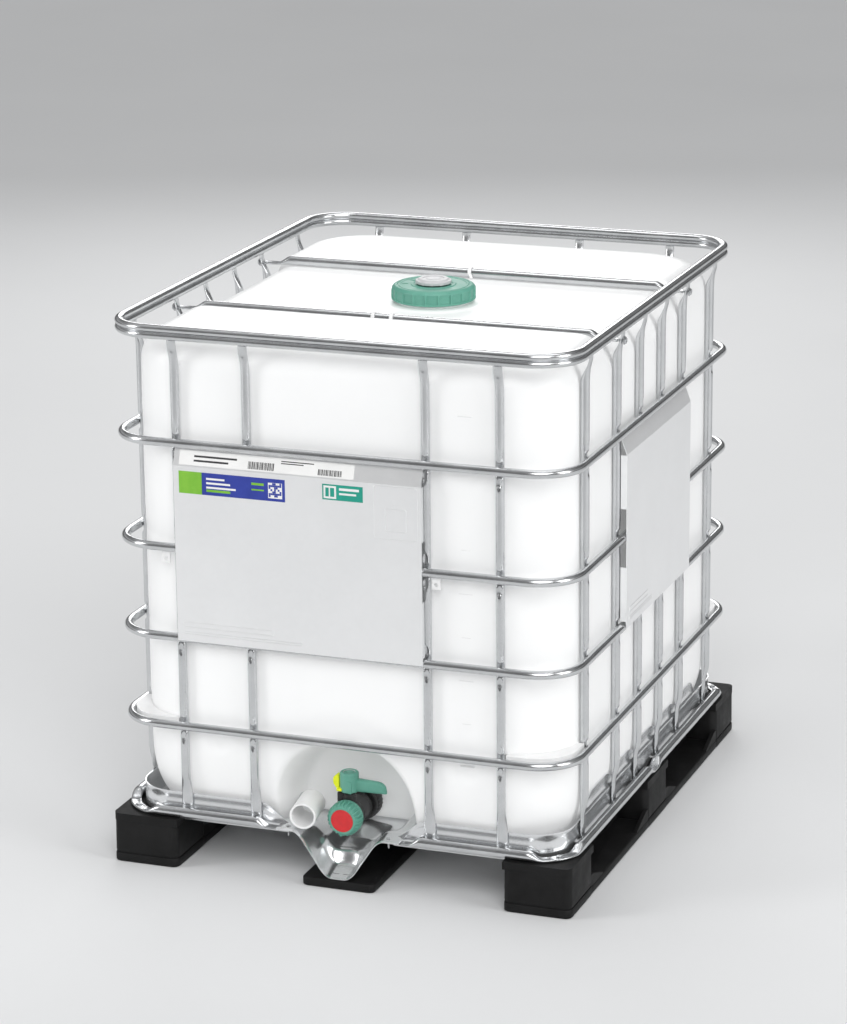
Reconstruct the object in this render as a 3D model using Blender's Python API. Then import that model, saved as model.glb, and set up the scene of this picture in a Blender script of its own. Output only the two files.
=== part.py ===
"""Intermediate bulk container: a blow-moulded bottle in a tubular steel cage on a plastic pallet.

Metres, +Z up.  X is the width, Y the length, and the outlet valve faces -Y.
The origin is on the floor, under the middle of the pallet.
"""
import math

import bmesh
import bpy
from mathutils import Matrix, Vector

# Overall sizes
HEIGHT = 1.150
PALLET_WIDTH = 1.000
PALLET_LENGTH = 1.200
CAGE_SIDE_MARGIN = 0.002
CAGE_END_MARGIN = 0.010
GAP = 0.0003

# Cage tubes
RING_RADIUS = 0.009
RING_CORNER_RADIUS = 0.090
RING_LEVELS = (0.778, 0.562, 0.375, 0.187)
POST_RADIUS = 0.009
POST_FOOT_THICKNESS = 0.006
POST_FOOT_WIDTH = 0.024
POST_DENT_DEPTH = 0.0053
POST_DENT_LENGTH = 0.032
POST_DENT_RAMP = 0.018
POST_SHOULDER_DROP = 0.018
POST_SHOULDER_THICKNESS = 0.009
POST_SHOULDER_SHARE = 0.7
POST_TOP_THICKNESS = 0.006
POST_FOOT_CLEARANCE = 0.006
FRONT_POST_INSET = 0.145
FRONT_POST_INNER = 0.190
BACK_POST_INNER = 0.134
SIDE_POST_INSET = 0.141
SIDE_POST_BAR = 0.2305
SIDE_POST_INNER = 0.077
RIM_LOBE_RADIUS = 0.008
RIM_LOBE_PITCH = 0.014
RIM_LOBE_STRETCH = 1.2
BASE_RIM_RADIUS = 0.011
BASE_RIM_FLAT = 0.003
BASE_RIM_FLAT_LENGTH = 0.050
BASE_RIM_LEFT_END = 0.128
BASE_RIM_RIGHT_END = 0.120
TUBE_SIDES = 12
POST_SIDES = 8
CORNER_STEPS = 5

# Bars across the top
CROSSBAR_RADIUS = 0.010
CROSSBAR_DROP = 0.040
CROSSBAR_END_LENGTH = 0.045
CROSSBAR_END_THICKNESS = 0.006
CROSSBAR_TIP_GAP = 0.0025
CROSSBAR_BOLT_RADIUS = 0.003
CROSSBAR_BOLT_HEAD = 0.008
CROSSBAR_BOLT_HEIGHT = 0.005
BOLT_SEAT_GAP = 0.0015

# Bottle
BOTTLE_WALL = 0.004
BOTTLE_CLEARANCE = 0.0005
BOTTLE_CORNER_RADIUS = 0.130
BOTTLE_TOP_DROP = 0.032
BOTTLE_TOP_RADIUS = 0.060
BOTTLE_FOOT_HEIGHT = 0.130
BOTTLE_FOOT_INSET = 0.062
SADDLE_DEPTH = 0.020
SADDLE_MARGIN = 0.004
FILL_NECK_RADIUS = 0.074
FILL_NECK_WALL = 0.008
FILL_NECK_HEIGHT = 0.028
ALCOVE_HALF_WIDTH = 0.152
ALCOVE_RISE = 0.2115
ALCOVE_DEPTH = 0.130
ALCOVE_DRAFT = 0.016
OUTLET_BORE = 0.024
OUTLET_NECK_WALL = 0.005
OUTLET_NECK_LENGTH = 0.022

# Filling cap
FILL_CAP_WALL = 0.0145
FILL_CAP_HEIGHT = 0.031
FILL_CAP_TOP = 0.006
FILL_CAP_RIBS = 18
FILL_CAP_RIB = 0.002
THREAD_CLEARANCE = 0.0015
GASKET_THICKNESS = 0.003
VENT_GASKET_THICKNESS = 0.0015
VENT_RADIUS = 0.038
VENT_HEIGHT = 0.010
VENT_STEM_RADIUS = 0.027
VENT_STEM_LENGTH = 0.018
RUNNING_CLEARANCE = 0.0005

# Outlet valve
VALVE_LENGTH = 0.106
VALVE_FLANGE = 0.005
VALVE_FLANGE_WALL = 0.0075
VALVE_TUBE_WALL = 0.0045
SPOUT_WALL = 0.0065
SPOUT_LENGTH = 0.026
STEM_SETBACK = 0.0375
STEM_RADIUS = 0.006
STEM_BOSS_RADIUS = 0.011
STEM_BOSS_RISE = 0.026
STEM_SOCKET = 0.012
DISC_THICKNESS = 0.006
DISC_CLEARANCE = 0.0008
NUT_WALL = 0.0055
NUT_FLOOR_CLEARANCE = 0.006
NUT_LIP = 0.004
NUT_RIBS = 14
OUTLET_CAP_SKIRT = 0.0055
OUTLET_CAP_FACE_RIM = 0.005
OUTLET_CAP_SHOULDER = 0.010
OUTLET_CAP_WALL = 0.0035
OUTLET_CAP_END = 0.005
OUTLET_CAP_RIBS = 14
OUTLET_CAP_RIB = 0.0015
COVER_DISC_THICKNESS = 0.002
HUB_RADIUS = 0.0195
HUB_HEIGHT = 0.042
HANDLE_REACH = 0.081
HANDLE_ROOT_HEIGHT = 0.024
HANDLE_TIP_HEIGHT = 0.009
HANDLE_THICKNESS = 0.016
CLIP_WIDTH = 0.013
CLIP_DEPTH = 0.018
CLIP_HEIGHT = 0.030
CLIP_TONGUE = 0.010
CLIP_TONGUE_SIZE = 0.008

# Spare outlet spout
SPARE_RADIUS = 0.0275
SPARE_WALL = 0.004
SPARE_LENGTH = 0.084
SPARE_OFFSET = 0.079
SPARE_RISE = 0.050
SPARE_SETBACK = 0.014
SPARE_TURN = math.radians(8.0)

# Steel pan and trough
SHEET = 0.002
PAN_SHEET = 0.0015
PAN_FOOT_CLEARANCE = 0.0005
PAN_WALL_HEIGHT = 0.060
PAN_CORNER_RADIUS = 0.080
NOTCH_BOTTOM = 0.112
NOTCH_TOP = 0.168
TROUGH_SETBACK = 0.002
TROUGH_LENGTH = 0.153
TROUGH_HALF_FLOOR = 0.026
TROUGH_HALF_MOUTH = 0.086
TROUGH_HALF_WIDTH = 0.134
TROUGH_REAR_HALF = 0.060

# Label plates, tags and corner guards
PLATE_SHEET = 0.0015
PLATE_FOLD = 0.034
PLATE_LIP = 0.002
PLATE_FLANGE = 0.012
PLATE_NOTCH = 0.062
TAG_WIDTH = 0.018
TAG_HEIGHT = 0.024
TAG_SHEET = 0.002
TAG_HOLE = 0.004
TAG_OFFSET = 0.024
GUARD_HEIGHT = 0.026

# Pallet
RUNNER_WIDTH = 0.145
CENTRE_RUNNER_WIDTH = 0.160
RUNNER_BASE = 0.020
FOOT_LENGTH = 0.150
FOOT_TOP = 0.094
LEDGE_RISE = 0.0125
GUSSET_LENGTH = 0.070
GUSSET_HEIGHT = 0.024
FOOT_BEVEL = 0.008


for old in list(bpy.data.objects):
    bpy.data.objects.remove(old, do_unlink=True)


# ---------------------------------------------------------------- places shared by several pieces

CAGE_WIDTH = PALLET_WIDTH - 2.0 * CAGE_SIDE_MARGIN
CAGE_LENGTH = PALLET_LENGTH - 2.0 * CAGE_END_MARGIN
LEDGE_TOP = FOOT_TOP + LEDGE_RISE
PAN_FLOOR_LEVEL = FOOT_TOP + PAN_FOOT_CLEARANCE
FILL_NECK_BORE = FILL_NECK_RADIUS - FILL_NECK_WALL
FILL_CAP_RADIUS = FILL_NECK_RADIUS + THREAD_CLEARANCE + FILL_CAP_WALL
OUTLET_NECK_RADIUS = OUTLET_BORE + OUTLET_NECK_WALL
VALVE_FLANGE_RADIUS = OUTLET_BORE + VALVE_FLANGE_WALL
VALVE_TUBE_RADIUS = OUTLET_BORE + VALVE_TUBE_WALL
SPOUT_RADIUS = OUTLET_BORE + SPOUT_WALL
STEM_BOSS_TOP = OUTLET_BORE + STEM_BOSS_RISE
NUT_RADIUS = VALVE_FLANGE_RADIUS + NUT_WALL
OUTLET_CAP_RADIUS = SPOUT_RADIUS + OUTLET_CAP_SKIRT
OUTLET_CAP_FACE_RADIUS = OUTLET_BORE + OUTLET_CAP_FACE_RIM
COVER_DISC_RADIUS = OUTLET_BORE
OUTLET_HEIGHT = PAN_FLOOR_LEVEL + NUT_RADIUS + NUT_FLOOR_CLEARANCE
ALCOVE_TOP = PAN_FLOOR_LEVEL + ALCOVE_RISE
SPARE_HEIGHT = PAN_FLOOR_LEVEL + SPARE_RISE
SPARE_FRONT = PALLET_LENGTH / 2.0 - SPARE_SETBACK
TROUGH_FRONT = PALLET_LENGTH / 2.0 - TROUGH_SETBACK
TROUGH_REAR = TROUGH_FRONT - TROUGH_LENGTH
RIM_DEPTH = 2.0 * RIM_LOBE_RADIUS * RIM_LOBE_STRETCH
RIM_HEIGHT = RIM_LOBE_PITCH + 2.0 * RIM_LOBE_RADIUS
RIM_CENTRE = HEIGHT - RIM_HEIGHT / 2.0
RIM_BOTTOM = HEIGHT - RIM_HEIGHT
BASE_RIM_CENTRE = LEDGE_TOP + GAP + BASE_RIM_RADIUS
RING_HALF_X = CAGE_WIDTH / 2.0 - RING_RADIUS
RING_HALF_Y = CAGE_LENGTH / 2.0 - RING_RADIUS
RING_HEIGHTS = [BASE_RIM_CENTRE + level * (RIM_CENTRE - BASE_RIM_CENTRE) for level in RING_LEVELS]
BASE_RIM_HALF_X = CAGE_WIDTH / 2.0 - BASE_RIM_RADIUS
BASE_RIM_HALF_Y = CAGE_LENGTH / 2.0 - BASE_RIM_RADIUS
POST_INSET = RING_RADIUS + POST_RADIUS - POST_DENT_DEPTH
POST_HALF_X = RING_HALF_X - POST_INSET
POST_HALF_Y = RING_HALF_Y - POST_INSET
POST_BOTTOM = LEDGE_TOP + POST_FOOT_CLEARANCE
POST_TOP = RIM_BOTTOM - GAP
POST_TOP_SHIFT = POST_INSET - (RIM_DEPTH / 2.0 - RING_RADIUS)
POST_FOOT_SHIFT = BASE_RIM_HALF_Y - BASE_RIM_RADIUS - GAP - POST_FOOT_THICKNESS / 2.0 - POST_HALF_Y
PAN_HALF_X = POST_HALF_X + POST_FOOT_SHIFT - POST_FOOT_THICKNESS / 2.0 - GAP
PAN_HALF_Y = POST_HALF_Y + POST_FOOT_SHIFT - POST_FOOT_THICKNESS / 2.0 - GAP
PAN_TOP = PAN_FLOOR_LEVEL + PAN_WALL_HEIGHT
BOTTLE_HALF_X = POST_HALF_X - POST_RADIUS - BOTTLE_CLEARANCE
BOTTLE_HALF_Y = POST_HALF_Y - POST_RADIUS - BOTTLE_CLEARANCE
BOTTLE_BOTTOM = PAN_FLOOR_LEVEL + SHEET + GAP
BOTTLE_TOP = HEIGHT - BOTTLE_TOP_DROP
SADDLE_LEVEL = BOTTLE_TOP - SADDLE_DEPTH
ALCOVE_BACK = -(BOTTLE_HALF_Y - ALCOVE_DEPTH)
NECK_FRONT = ALCOVE_BACK - OUTLET_NECK_LENGTH
SEAL_FRONT = NECK_FRONT - GAP - GASKET_THICKNESS
VALVE_REAR = SEAL_FRONT - GAP
VALVE_FRONT = VALVE_REAR - VALVE_LENGTH
STEM_Y = VALVE_FRONT + STEM_SETBACK
HUB_BOTTOM = OUTLET_HEIGHT + STEM_BOSS_TOP + GAP
END_POST = RING_HALF_X - FRONT_POST_INSET
FRONT_POSTS = (-END_POST, -FRONT_POST_INNER, FRONT_POST_INNER, END_POST)
BACK_POSTS = (-END_POST, -BACK_POST_INNER, BACK_POST_INNER, END_POST)
SIDE_POSTS = (-(RING_HALF_Y - SIDE_POST_INSET), -SIDE_POST_BAR, -SIDE_POST_INNER,
              SIDE_POST_INNER, SIDE_POST_BAR, RING_HALF_Y - SIDE_POST_INSET)


# ---------------------------------------------------------------- materials

def finish(name, colour, roughness, metallic):
    material = bpy.data.materials.new(name)
    material.use_nodes = True
    shader = material.node_tree.nodes["Principled BSDF"]
    shader.inputs["Base Color"].default_value = (*colour, 1.0)
    shader.inputs["Roughness"].default_value = roughness
    shader.inputs["Metallic"].default_value = metallic
    return material


GALVANISED = finish("galvanised_steel", (0.72, 0.73, 0.74), 0.32, 1.0)
SHEET_STEEL = finish("sheet_steel", (0.80, 0.81, 0.82), 0.38, 1.0)
BOTTLE_WHITE = finish("bottle_white", (0.93, 0.94, 0.94), 0.42, 0.0)
WHITE_PLASTIC = finish("white_plastic", (0.95, 0.95, 0.95), 0.40, 0.0)
TEAL_PLASTIC = finish("teal_plastic", (0.16, 0.47, 0.40), 0.45, 0.0)
GREY_PLASTIC = finish("grey_plastic", (0.80, 0.80, 0.80), 0.45, 0.0)
BLACK_PLASTIC = finish("black_plastic", (0.03, 0.03, 0.03), 0.50, 0.0)
PALLET_PLASTIC = finish("pallet_plastic", (0.02, 0.02, 0.02), 0.60, 0.0)
RED_PLASTIC = finish("red_plastic", (0.75, 0.02, 0.02), 0.40, 0.0)
YELLOW_PLASTIC = finish("yellow_plastic", (0.95, 0.95, 0.02), 0.40, 0.0)
SEAL_RUBBER = finish("seal_rubber", (0.10, 0.10, 0.10), 0.70, 0.0)


# ---------------------------------------------------------------- shape tools

def mesh_object(name, bm, material, matrix=None):
    """Turn a closed bmesh into a named object with its faces pointing out."""
    bmesh.ops.recalc_face_normals(bm, faces=bm.faces)
    mesh = bpy.data.meshes.new(name)
    bm.to_mesh(mesh)
    bm.free()
    mesh.shade_smooth()
    mesh.set_sharp_from_angle(angle=math.radians(35.0))
    mesh.materials.append(material)
    return place(name, mesh, matrix)


def place(name, mesh, matrix=None):
    obj = bpy.data.objects.new(name, mesh)
    if matrix is not None:
        obj.matrix_world = matrix
    bpy.context.scene.collection.objects.link(obj)
    return obj


def loft(sections, closed=False):
    """Skin matching sections; the ends are capped unless the run closes on itself."""
    bm = bmesh.new()
    rings = [[bm.verts.new(point) for point in section] for section in sections]
    count = len(rings)
    for index in range(count if closed else count - 1):
        near = rings[index]
        far = rings[(index + 1) % count]
        for side in range(len(near)):
            other = (side + 1) % len(near)
            bm.faces.new((near[side], near[other], far[other], far[side]))
    if not closed:
        bm.faces.new(rings[0])
        bm.faces.new(rings[-1])
    return bm


def turned(profile, segments, hollow=False, ripple=None):
    """Spin (radius, height) points round Z; hollow closes the profile on itself.

    ripple(index) gives the extra radius of each of the outermost points, for ribs round a grip.
    """
    bm = bmesh.new()
    widest = max(radius for radius, height in profile)
    rings = []
    for radius, height in profile:
        if radius == 0.0:
            rings.append([bm.verts.new((0.0, 0.0, height))])
            continue
        ring = []
        for index in range(segments):
            angle = 2.0 * math.pi * index / segments
            reach = radius
            if ripple is not None and radius > widest - 0.0002:
                reach += ripple(index)
            ring.append(bm.verts.new((reach * math.cos(angle), reach * math.sin(angle), height)))
        rings.append(ring)
    count = len(rings)
    for index in range(count if hollow else count - 1):
        near = rings[index]
        far = rings[(index + 1) % count]
        for side in range(segments):
            other = (side + 1) % segments
            corners = [near[side % len(near)], near[other % len(near)],
                       far[other % len(far)], far[side % len(far)]]
            unique = list(dict.fromkeys(corners))
            if len(unique) > 2:
                bm.faces.new(unique)
    return bm


def block(low, high):
    """A box between two corners."""
    bm = bmesh.new()
    bmesh.ops.create_cube(bm, size=1.0)
    size = Vector(high) - Vector(low)
    middle = (Vector(high) + Vector(low)) / 2.0
    bmesh.ops.scale(bm, vec=size, verts=bm.verts)
    bmesh.ops.translate(bm, vec=middle, verts=bm.verts)
    return bm


def rod(radius, low, high, segments):
    return turned([(0.0, low), (radius, low), (radius, high), (0.0, high)], segments)


def combine(target, tool, operation):
    """Cut a tool from a piece, or weld it on."""
    tool.hide_render = True
    tool.display_type = 'WIRE'
    modifier = target.modifiers.new(tool.name, 'BOOLEAN')
    modifier.operation = operation
    modifier.solver = 'EXACT'
    modifier.object = tool
    return target


def rounded_path(half_x, half_y, radius, steps):
    """Points and outward directions round a rectangle with round corners."""
    path = []
    for corner in range(4):
        sign_x = (1, -1, -1, 1)[corner]
        sign_y = (1, 1, -1, -1)[corner]
        for step in range(steps + 1):
            angle = math.pi / 2.0 * (corner + step / steps)
            out = Vector((math.cos(angle), math.sin(angle), 0.0))
            centre = Vector((sign_x * (half_x - radius), sign_y * (half_y - radius), 0.0))
            path.append((centre + radius * out, out))
    return path


def ring_section(path_point, out, level, section):
    return [path_point + reach * out + Vector((0.0, 0.0, level + rise)) for reach, rise in section]


def ellipse(half_out, half_up, sides):
    return [(half_out * math.cos(2.0 * math.pi * k / sides), half_up * math.sin(2.0 * math.pi * k / sides))
            for k in range(sides)]


ALONG_FRONT = Matrix.Rotation(math.radians(90.0), 4, 'X')   # turns +Z to -Y


# ---------------------------------------------------------------- cage

def make_rings():
    path = rounded_path(RING_HALF_X, RING_HALF_Y, RING_CORNER_RADIUS, CORNER_STEPS)
    for number, level in enumerate(RING_HEIGHTS, start=2):
        section = ellipse(RING_RADIUS, RING_RADIUS, TUBE_SIDES)
        sections = [ring_section(point, out, level, section) for point, out in path]
        mesh_object(f"cage_ring_{number}", loft(sections, closed=True), GALVANISED)


def rim_section():
    """Two beads one above the other, pinched where they meet."""
    outline = []
    lobes = ((-1, (-90, -45, 0, 45)), (1, (-45, 0, 45, 90)), (1, (135, 180, 225)), (-1, (135, 180, 225)))
    waist = (RIM_LOBE_RADIUS * 0.62, 0.0)
    for index, (side, angles) in enumerate(lobes):
        for degrees in angles:
            angle = math.radians(degrees)
            out = RIM_LOBE_RADIUS * RIM_LOBE_STRETCH * math.cos(angle)
            rise = side * RIM_LOBE_PITCH / 2.0 + RIM_LOBE_RADIUS * math.sin(angle)
            outline.append((out, rise))
        if index == 0:
            outline.append(waist)
        if index == 2:
            outline.append((-waist[0], 0.0))
    return outline


def make_top_rim():
    half_x = CAGE_WIDTH / 2.0 - RIM_DEPTH / 2.0
    half_y = CAGE_LENGTH / 2.0 - RIM_DEPTH / 2.0
    path = rounded_path(half_x, half_y, RING_CORNER_RADIUS, CORNER_STEPS)
    sections = [ring_section(point, out, RIM_CENTRE, rim_section()) for point, out in path]
    mesh_object("cage_top_rim", loft(sections, closed=True), GALVANISED)


def flat_share(distance):
    """1 where the base rim is pressed flat, 0 where it is round."""
    ramp = BASE_RIM_RADIUS
    return min(1.0, max(0.0, (BASE_RIM_FLAT_LENGTH / 2.0 + ramp - distance) / ramp))


def make_base_rim():
    """An open loop whose two ends lie flat beside the trough; pressed flat over every foot."""
    corner = RING_CORNER_RADIUS
    steps = CORNER_STEPS + 1
    loop = rounded_path(BASE_RIM_HALF_X, BASE_RIM_HALF_Y, corner, steps)
    last_corner = 3 * (steps + 1)
    out_front = Vector((0.0, -1.0, 0.0))
    start = (Vector((BASE_RIM_RIGHT_END, -BASE_RIM_HALF_Y, 0.0)), out_front)
    end = (Vector((-BASE_RIM_LEFT_END, -BASE_RIM_HALF_Y, 0.0)), out_front)
    points = [start] + loop[last_corner:] + loop[:last_corner] + [end]
    flats = [start[0], end[0]]
    flats += [Vector((side * BASE_RIM_HALF_X, 0.0, 0.0)) for side in (-1, 1)]
    for sign_x in (-1, 1):
        for sign_y in (-1, 1):
            reach = corner * (1.0 - math.sqrt(0.5))
            corner_x = sign_x * (BASE_RIM_HALF_X - reach)
            corner_y = sign_y * (BASE_RIM_HALF_Y - reach)
            flats.append(Vector((corner_x, corner_y, 0.0)))
    run = []
    for (near, near_out), (far, far_out) in zip(points, points[1:]):
        run.append((near, near_out))
        length = (far - near).length
        if length > 2.0 * BASE_RIM_FLAT_LENGTH:
            marks = []
            for flat in flats:
                along = (flat - near).dot((far - near) / length)
                aside = (near + (far - near) * along / length - flat).length
                if aside < 0.001:
                    for step in (-1, 1):
                        half = BASE_RIM_FLAT_LENGTH / 2.0
                        marks += [along + step * half, along + step * (half + BASE_RIM_RADIUS)]
            for mark in sorted(marks):
                if BASE_RIM_RADIUS < mark < length - BASE_RIM_RADIUS:
                    run.append((near.lerp(far, mark / length), near_out))
    run.append(points[-1])
    sections = []
    for point, out in run:
        share = max(flat_share((point - flat).length) for flat in flats)
        half_up = BASE_RIM_RADIUS + share * (BASE_RIM_FLAT - BASE_RIM_RADIUS)
        level = LEDGE_TOP + GAP + half_up
        sections.append(ring_section(point, out, level, ellipse(BASE_RIM_RADIUS, half_up, TUBE_SIDES)))
    mesh_object("cage_base_rim", loft(sections), GALVANISED)


def post_mesh():
    """One upright: pressed flat at the foot, dented at each ring, bent out to the rim at the top."""
    foot = POST_FOOT_THICKNESS / 2.0
    foot_width = POST_FOOT_WIDTH / 2.0
    stations = [
        (POST_BOTTOM, foot_width, foot, foot, POST_FOOT_SHIFT),
        (PAN_TOP + 0.002, foot_width, foot, foot, POST_FOOT_SHIFT),
        (PAN_TOP + 0.040, POST_RADIUS, POST_RADIUS, POST_RADIUS, 0.0),
    ]
    dented = POST_RADIUS - POST_DENT_DEPTH - GAP
    for level in reversed(RING_HEIGHTS):
        half = POST_DENT_LENGTH / 2.0
        stations += [
            (level - half - POST_DENT_RAMP, POST_RADIUS, POST_RADIUS, POST_RADIUS, 0.0),
            (level - half, POST_RADIUS, dented, POST_RADIUS, 0.0),
            (level + half, POST_RADIUS, dented, POST_RADIUS, 0.0),
            (level + half + POST_DENT_RAMP, POST_RADIUS, POST_RADIUS, POST_RADIUS, 0.0),
        ]
    shoulder = POST_SHOULDER_THICKNESS / 2.0
    end = POST_TOP_THICKNESS / 2.0
    stations += [
        (POST_TOP - 0.050, POST_RADIUS, POST_RADIUS, POST_RADIUS, 0.0),
        (POST_TOP - POST_SHOULDER_DROP, POST_RADIUS, shoulder, shoulder,
         POST_TOP_SHIFT * POST_SHOULDER_SHARE),
        (POST_TOP, POST_RADIUS, end, end, POST_TOP_SHIFT),
    ]
    sections = []
    for level, half_width, outer, inner, offset in stations:
        section = []
        for side in range(POST_SIDES):
            angle = 2.0 * math.pi * (side + 0.5) / POST_SIDES
            depth = outer if math.sin(angle) > 0.0 else inner
            flare = 1.0 / math.sin(math.pi / 2.0 * (1.0 - 1.0 / POST_SIDES))
            reach = depth * math.sin(angle) * flare + offset
            section.append(Vector((half_width * math.cos(angle), -reach, level)))
        sections.append(section)
    bm = loft(sections)
    bmesh.ops.recalc_face_normals(bm, faces=bm.faces)
    mesh = bpy.data.meshes.new("cage_post")
    bm.to_mesh(mesh)
    bm.free()
    mesh.shade_smooth()
    mesh.set_sharp_from_angle(angle=math.radians(45.0))
    mesh.materials.append(GALVANISED)
    return mesh


def make_posts():
    mesh = post_mesh()
    for number, offset in enumerate(FRONT_POSTS, start=1):
        front = Matrix.Translation((offset, -POST_HALF_Y, 0.0))
        place(f"cage_post_front_{number}", mesh, front)
    for number, offset in enumerate(BACK_POSTS, start=1):
        back = Matrix.Translation((offset, POST_HALF_Y, 0.0)) @ Matrix.Rotation(math.pi, 4, 'Z')
        place(f"cage_post_back_{number}", mesh, back)
    for number, offset in enumerate(SIDE_POSTS, start=1):
        right = Matrix.Translation((POST_HALF_X, offset, 0.0)) @ Matrix.Rotation(math.pi / 2.0, 4, 'Z')
        place(f"cage_post_right_{number}", mesh, right)
        left = Matrix.Translation((-POST_HALF_X, offset, 0.0)) @ Matrix.Rotation(-math.pi / 2.0, 4, 'Z')
        place(f"cage_post_left_{number}", mesh, left)


def make_crossbars():
    """Round bars over the bottle, pressed flat at the ends and screwed to the side posts."""
    level = HEIGHT - CROSSBAR_DROP
    bolt_level = POST_TOP - POST_SHOULDER_DROP
    shoulder = POST_HALF_X + POST_TOP_SHIFT * POST_SHOULDER_SHARE
    tip = shoulder - POST_SHOULDER_THICKNESS / 2.0 - CROSSBAR_TIP_GAP
    flat = CROSSBAR_END_THICKNESS / 2.0
    wide = CROSSBAR_RADIUS * 1.2
    seat = shoulder + POST_SHOULDER_THICKNESS / 2.0 + BOLT_SEAT_GAP
    for name, offset in (("front", -SIDE_POST_BAR), ("rear", SIDE_POST_BAR)):
        stations = []
        for sign in (-1, 1):
            side = [
                (sign * tip, wide, flat, bolt_level),
                (sign * (tip - CROSSBAR_END_LENGTH / 2.0), wide, flat, bolt_level),
                (sign * (tip - CROSSBAR_END_LENGTH), CROSSBAR_RADIUS, CROSSBAR_RADIUS, level),
            ]
            stations += side if sign < 0 else reversed(side)
        sections = []
        for along, half_y, half_z, height in stations:
            sections.append([Vector((along, offset + a, height + b))
                             for a, b in ellipse(half_y, half_z, TUBE_SIDES)])
        bar = mesh_object(f"crossbar_{name}", loft(sections), GALVANISED)
        for side, sign in (("left", -1), ("right", 1)):
            turn = Matrix.Translation((sign * seat, offset, bolt_level)) @ Matrix.Rotation(
                -sign * math.pi / 2.0, 4, 'Y')
            length = seat - tip + CROSSBAR_END_LENGTH * 0.4
            drill_shape = rod(CROSSBAR_BOLT_RADIUS + GAP, -0.01, length + GAP, 12)
            drill = mesh_object(f"drill_{name}_{side}", drill_shape, GALVANISED, turn)
            combine(bar, drill, 'DIFFERENCE')
            number = SIDE_POSTS.index(offset) + 1
            combine(bpy.data.objects[f"cage_post_{side}_{number}"], drill, 'DIFFERENCE')
            profile = [(0.0, -CROSSBAR_BOLT_HEIGHT), (CROSSBAR_BOLT_HEAD, -CROSSBAR_BOLT_HEIGHT),
                       (CROSSBAR_BOLT_HEAD, 0.0), (CROSSBAR_BOLT_RADIUS, 0.0),
                       (CROSSBAR_BOLT_RADIUS, length), (0.0, length)]
            mesh_object(f"crossbar_bolt_{name}_{side}", turned(profile, 12), GALVANISED, turn)


# ---------------------------------------------------------------- bottle

def bottle_shell(inset):
    """The bottle's outside, or its inside when inset by the wall."""
    sections = []
    bottom = BOTTLE_BOTTOM + inset
    top = BOTTLE_TOP - inset
    levels = []
    foot_height = BOTTLE_FOOT_HEIGHT - inset
    foot_inset = BOTTLE_FOOT_INSET
    for step in range(6):
        angle = math.pi / 2.0 * step / 5
        level = bottom + foot_height * (1.0 - math.cos(angle))
        levels.append((level, foot_inset * (1.0 - math.sin(angle))))
    top_radius = BOTTLE_TOP_RADIUS - inset
    for step in range(6):
        angle = math.pi / 2.0 * step / 5
        levels.append((top - top_radius * (1.0 - math.sin(angle)), top_radius * (1.0 - math.cos(angle))))
    for level, pull in levels:
        half_x = BOTTLE_HALF_X - inset - pull
        half_y = BOTTLE_HALF_Y - inset - pull
        radius = max(BOTTLE_CORNER_RADIUS - inset - 0.4 * pull, 0.05)
        path = rounded_path(half_x, half_y, radius, 6)
        sections.append([point + Vector((0.0, 0.0, level)) for point, out in path])
    return loft(sections)


def saddle_cutter(grow):
    """The low middle of the top, between the front and rear shoulders."""
    half = SIDE_POST_BAR + CROSSBAR_RADIUS + SADDLE_MARGIN - grow
    low = SADDLE_LEVEL - grow
    high = BOTTLE_TOP + 0.05
    spread = (high - low) * 0.5
    outline = [(-half, low), (half, low), (half + spread, high), (-half - spread, high)]
    ends = []
    for along in (-0.6, 0.6):
        ends.append([Vector((along * CAGE_WIDTH, y, z)) for y, z in outline])
    return loft(ends)


def alcove_cutter(grow):
    """The arched pocket round the outlet, tapering towards its back."""
    sections = []
    for y, draft in ((-CAGE_LENGTH * 0.55, 0.0), (ALCOVE_BACK + grow, ALCOVE_DRAFT)):
        half = ALCOVE_HALF_WIDTH + grow - draft
        top = ALCOVE_TOP + grow - draft
        outline = [Vector((half, y, BOTTLE_BOTTOM - 0.02))]
        for step in range(13):
            angle = math.pi * step / 12
            outline.append(Vector((half * math.cos(angle), y, top - half + half * math.sin(angle))))
        outline.append(Vector((-half, y, BOTTLE_BOTTOM - 0.02)))
        sections.append(outline)
    return loft(sections)


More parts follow.
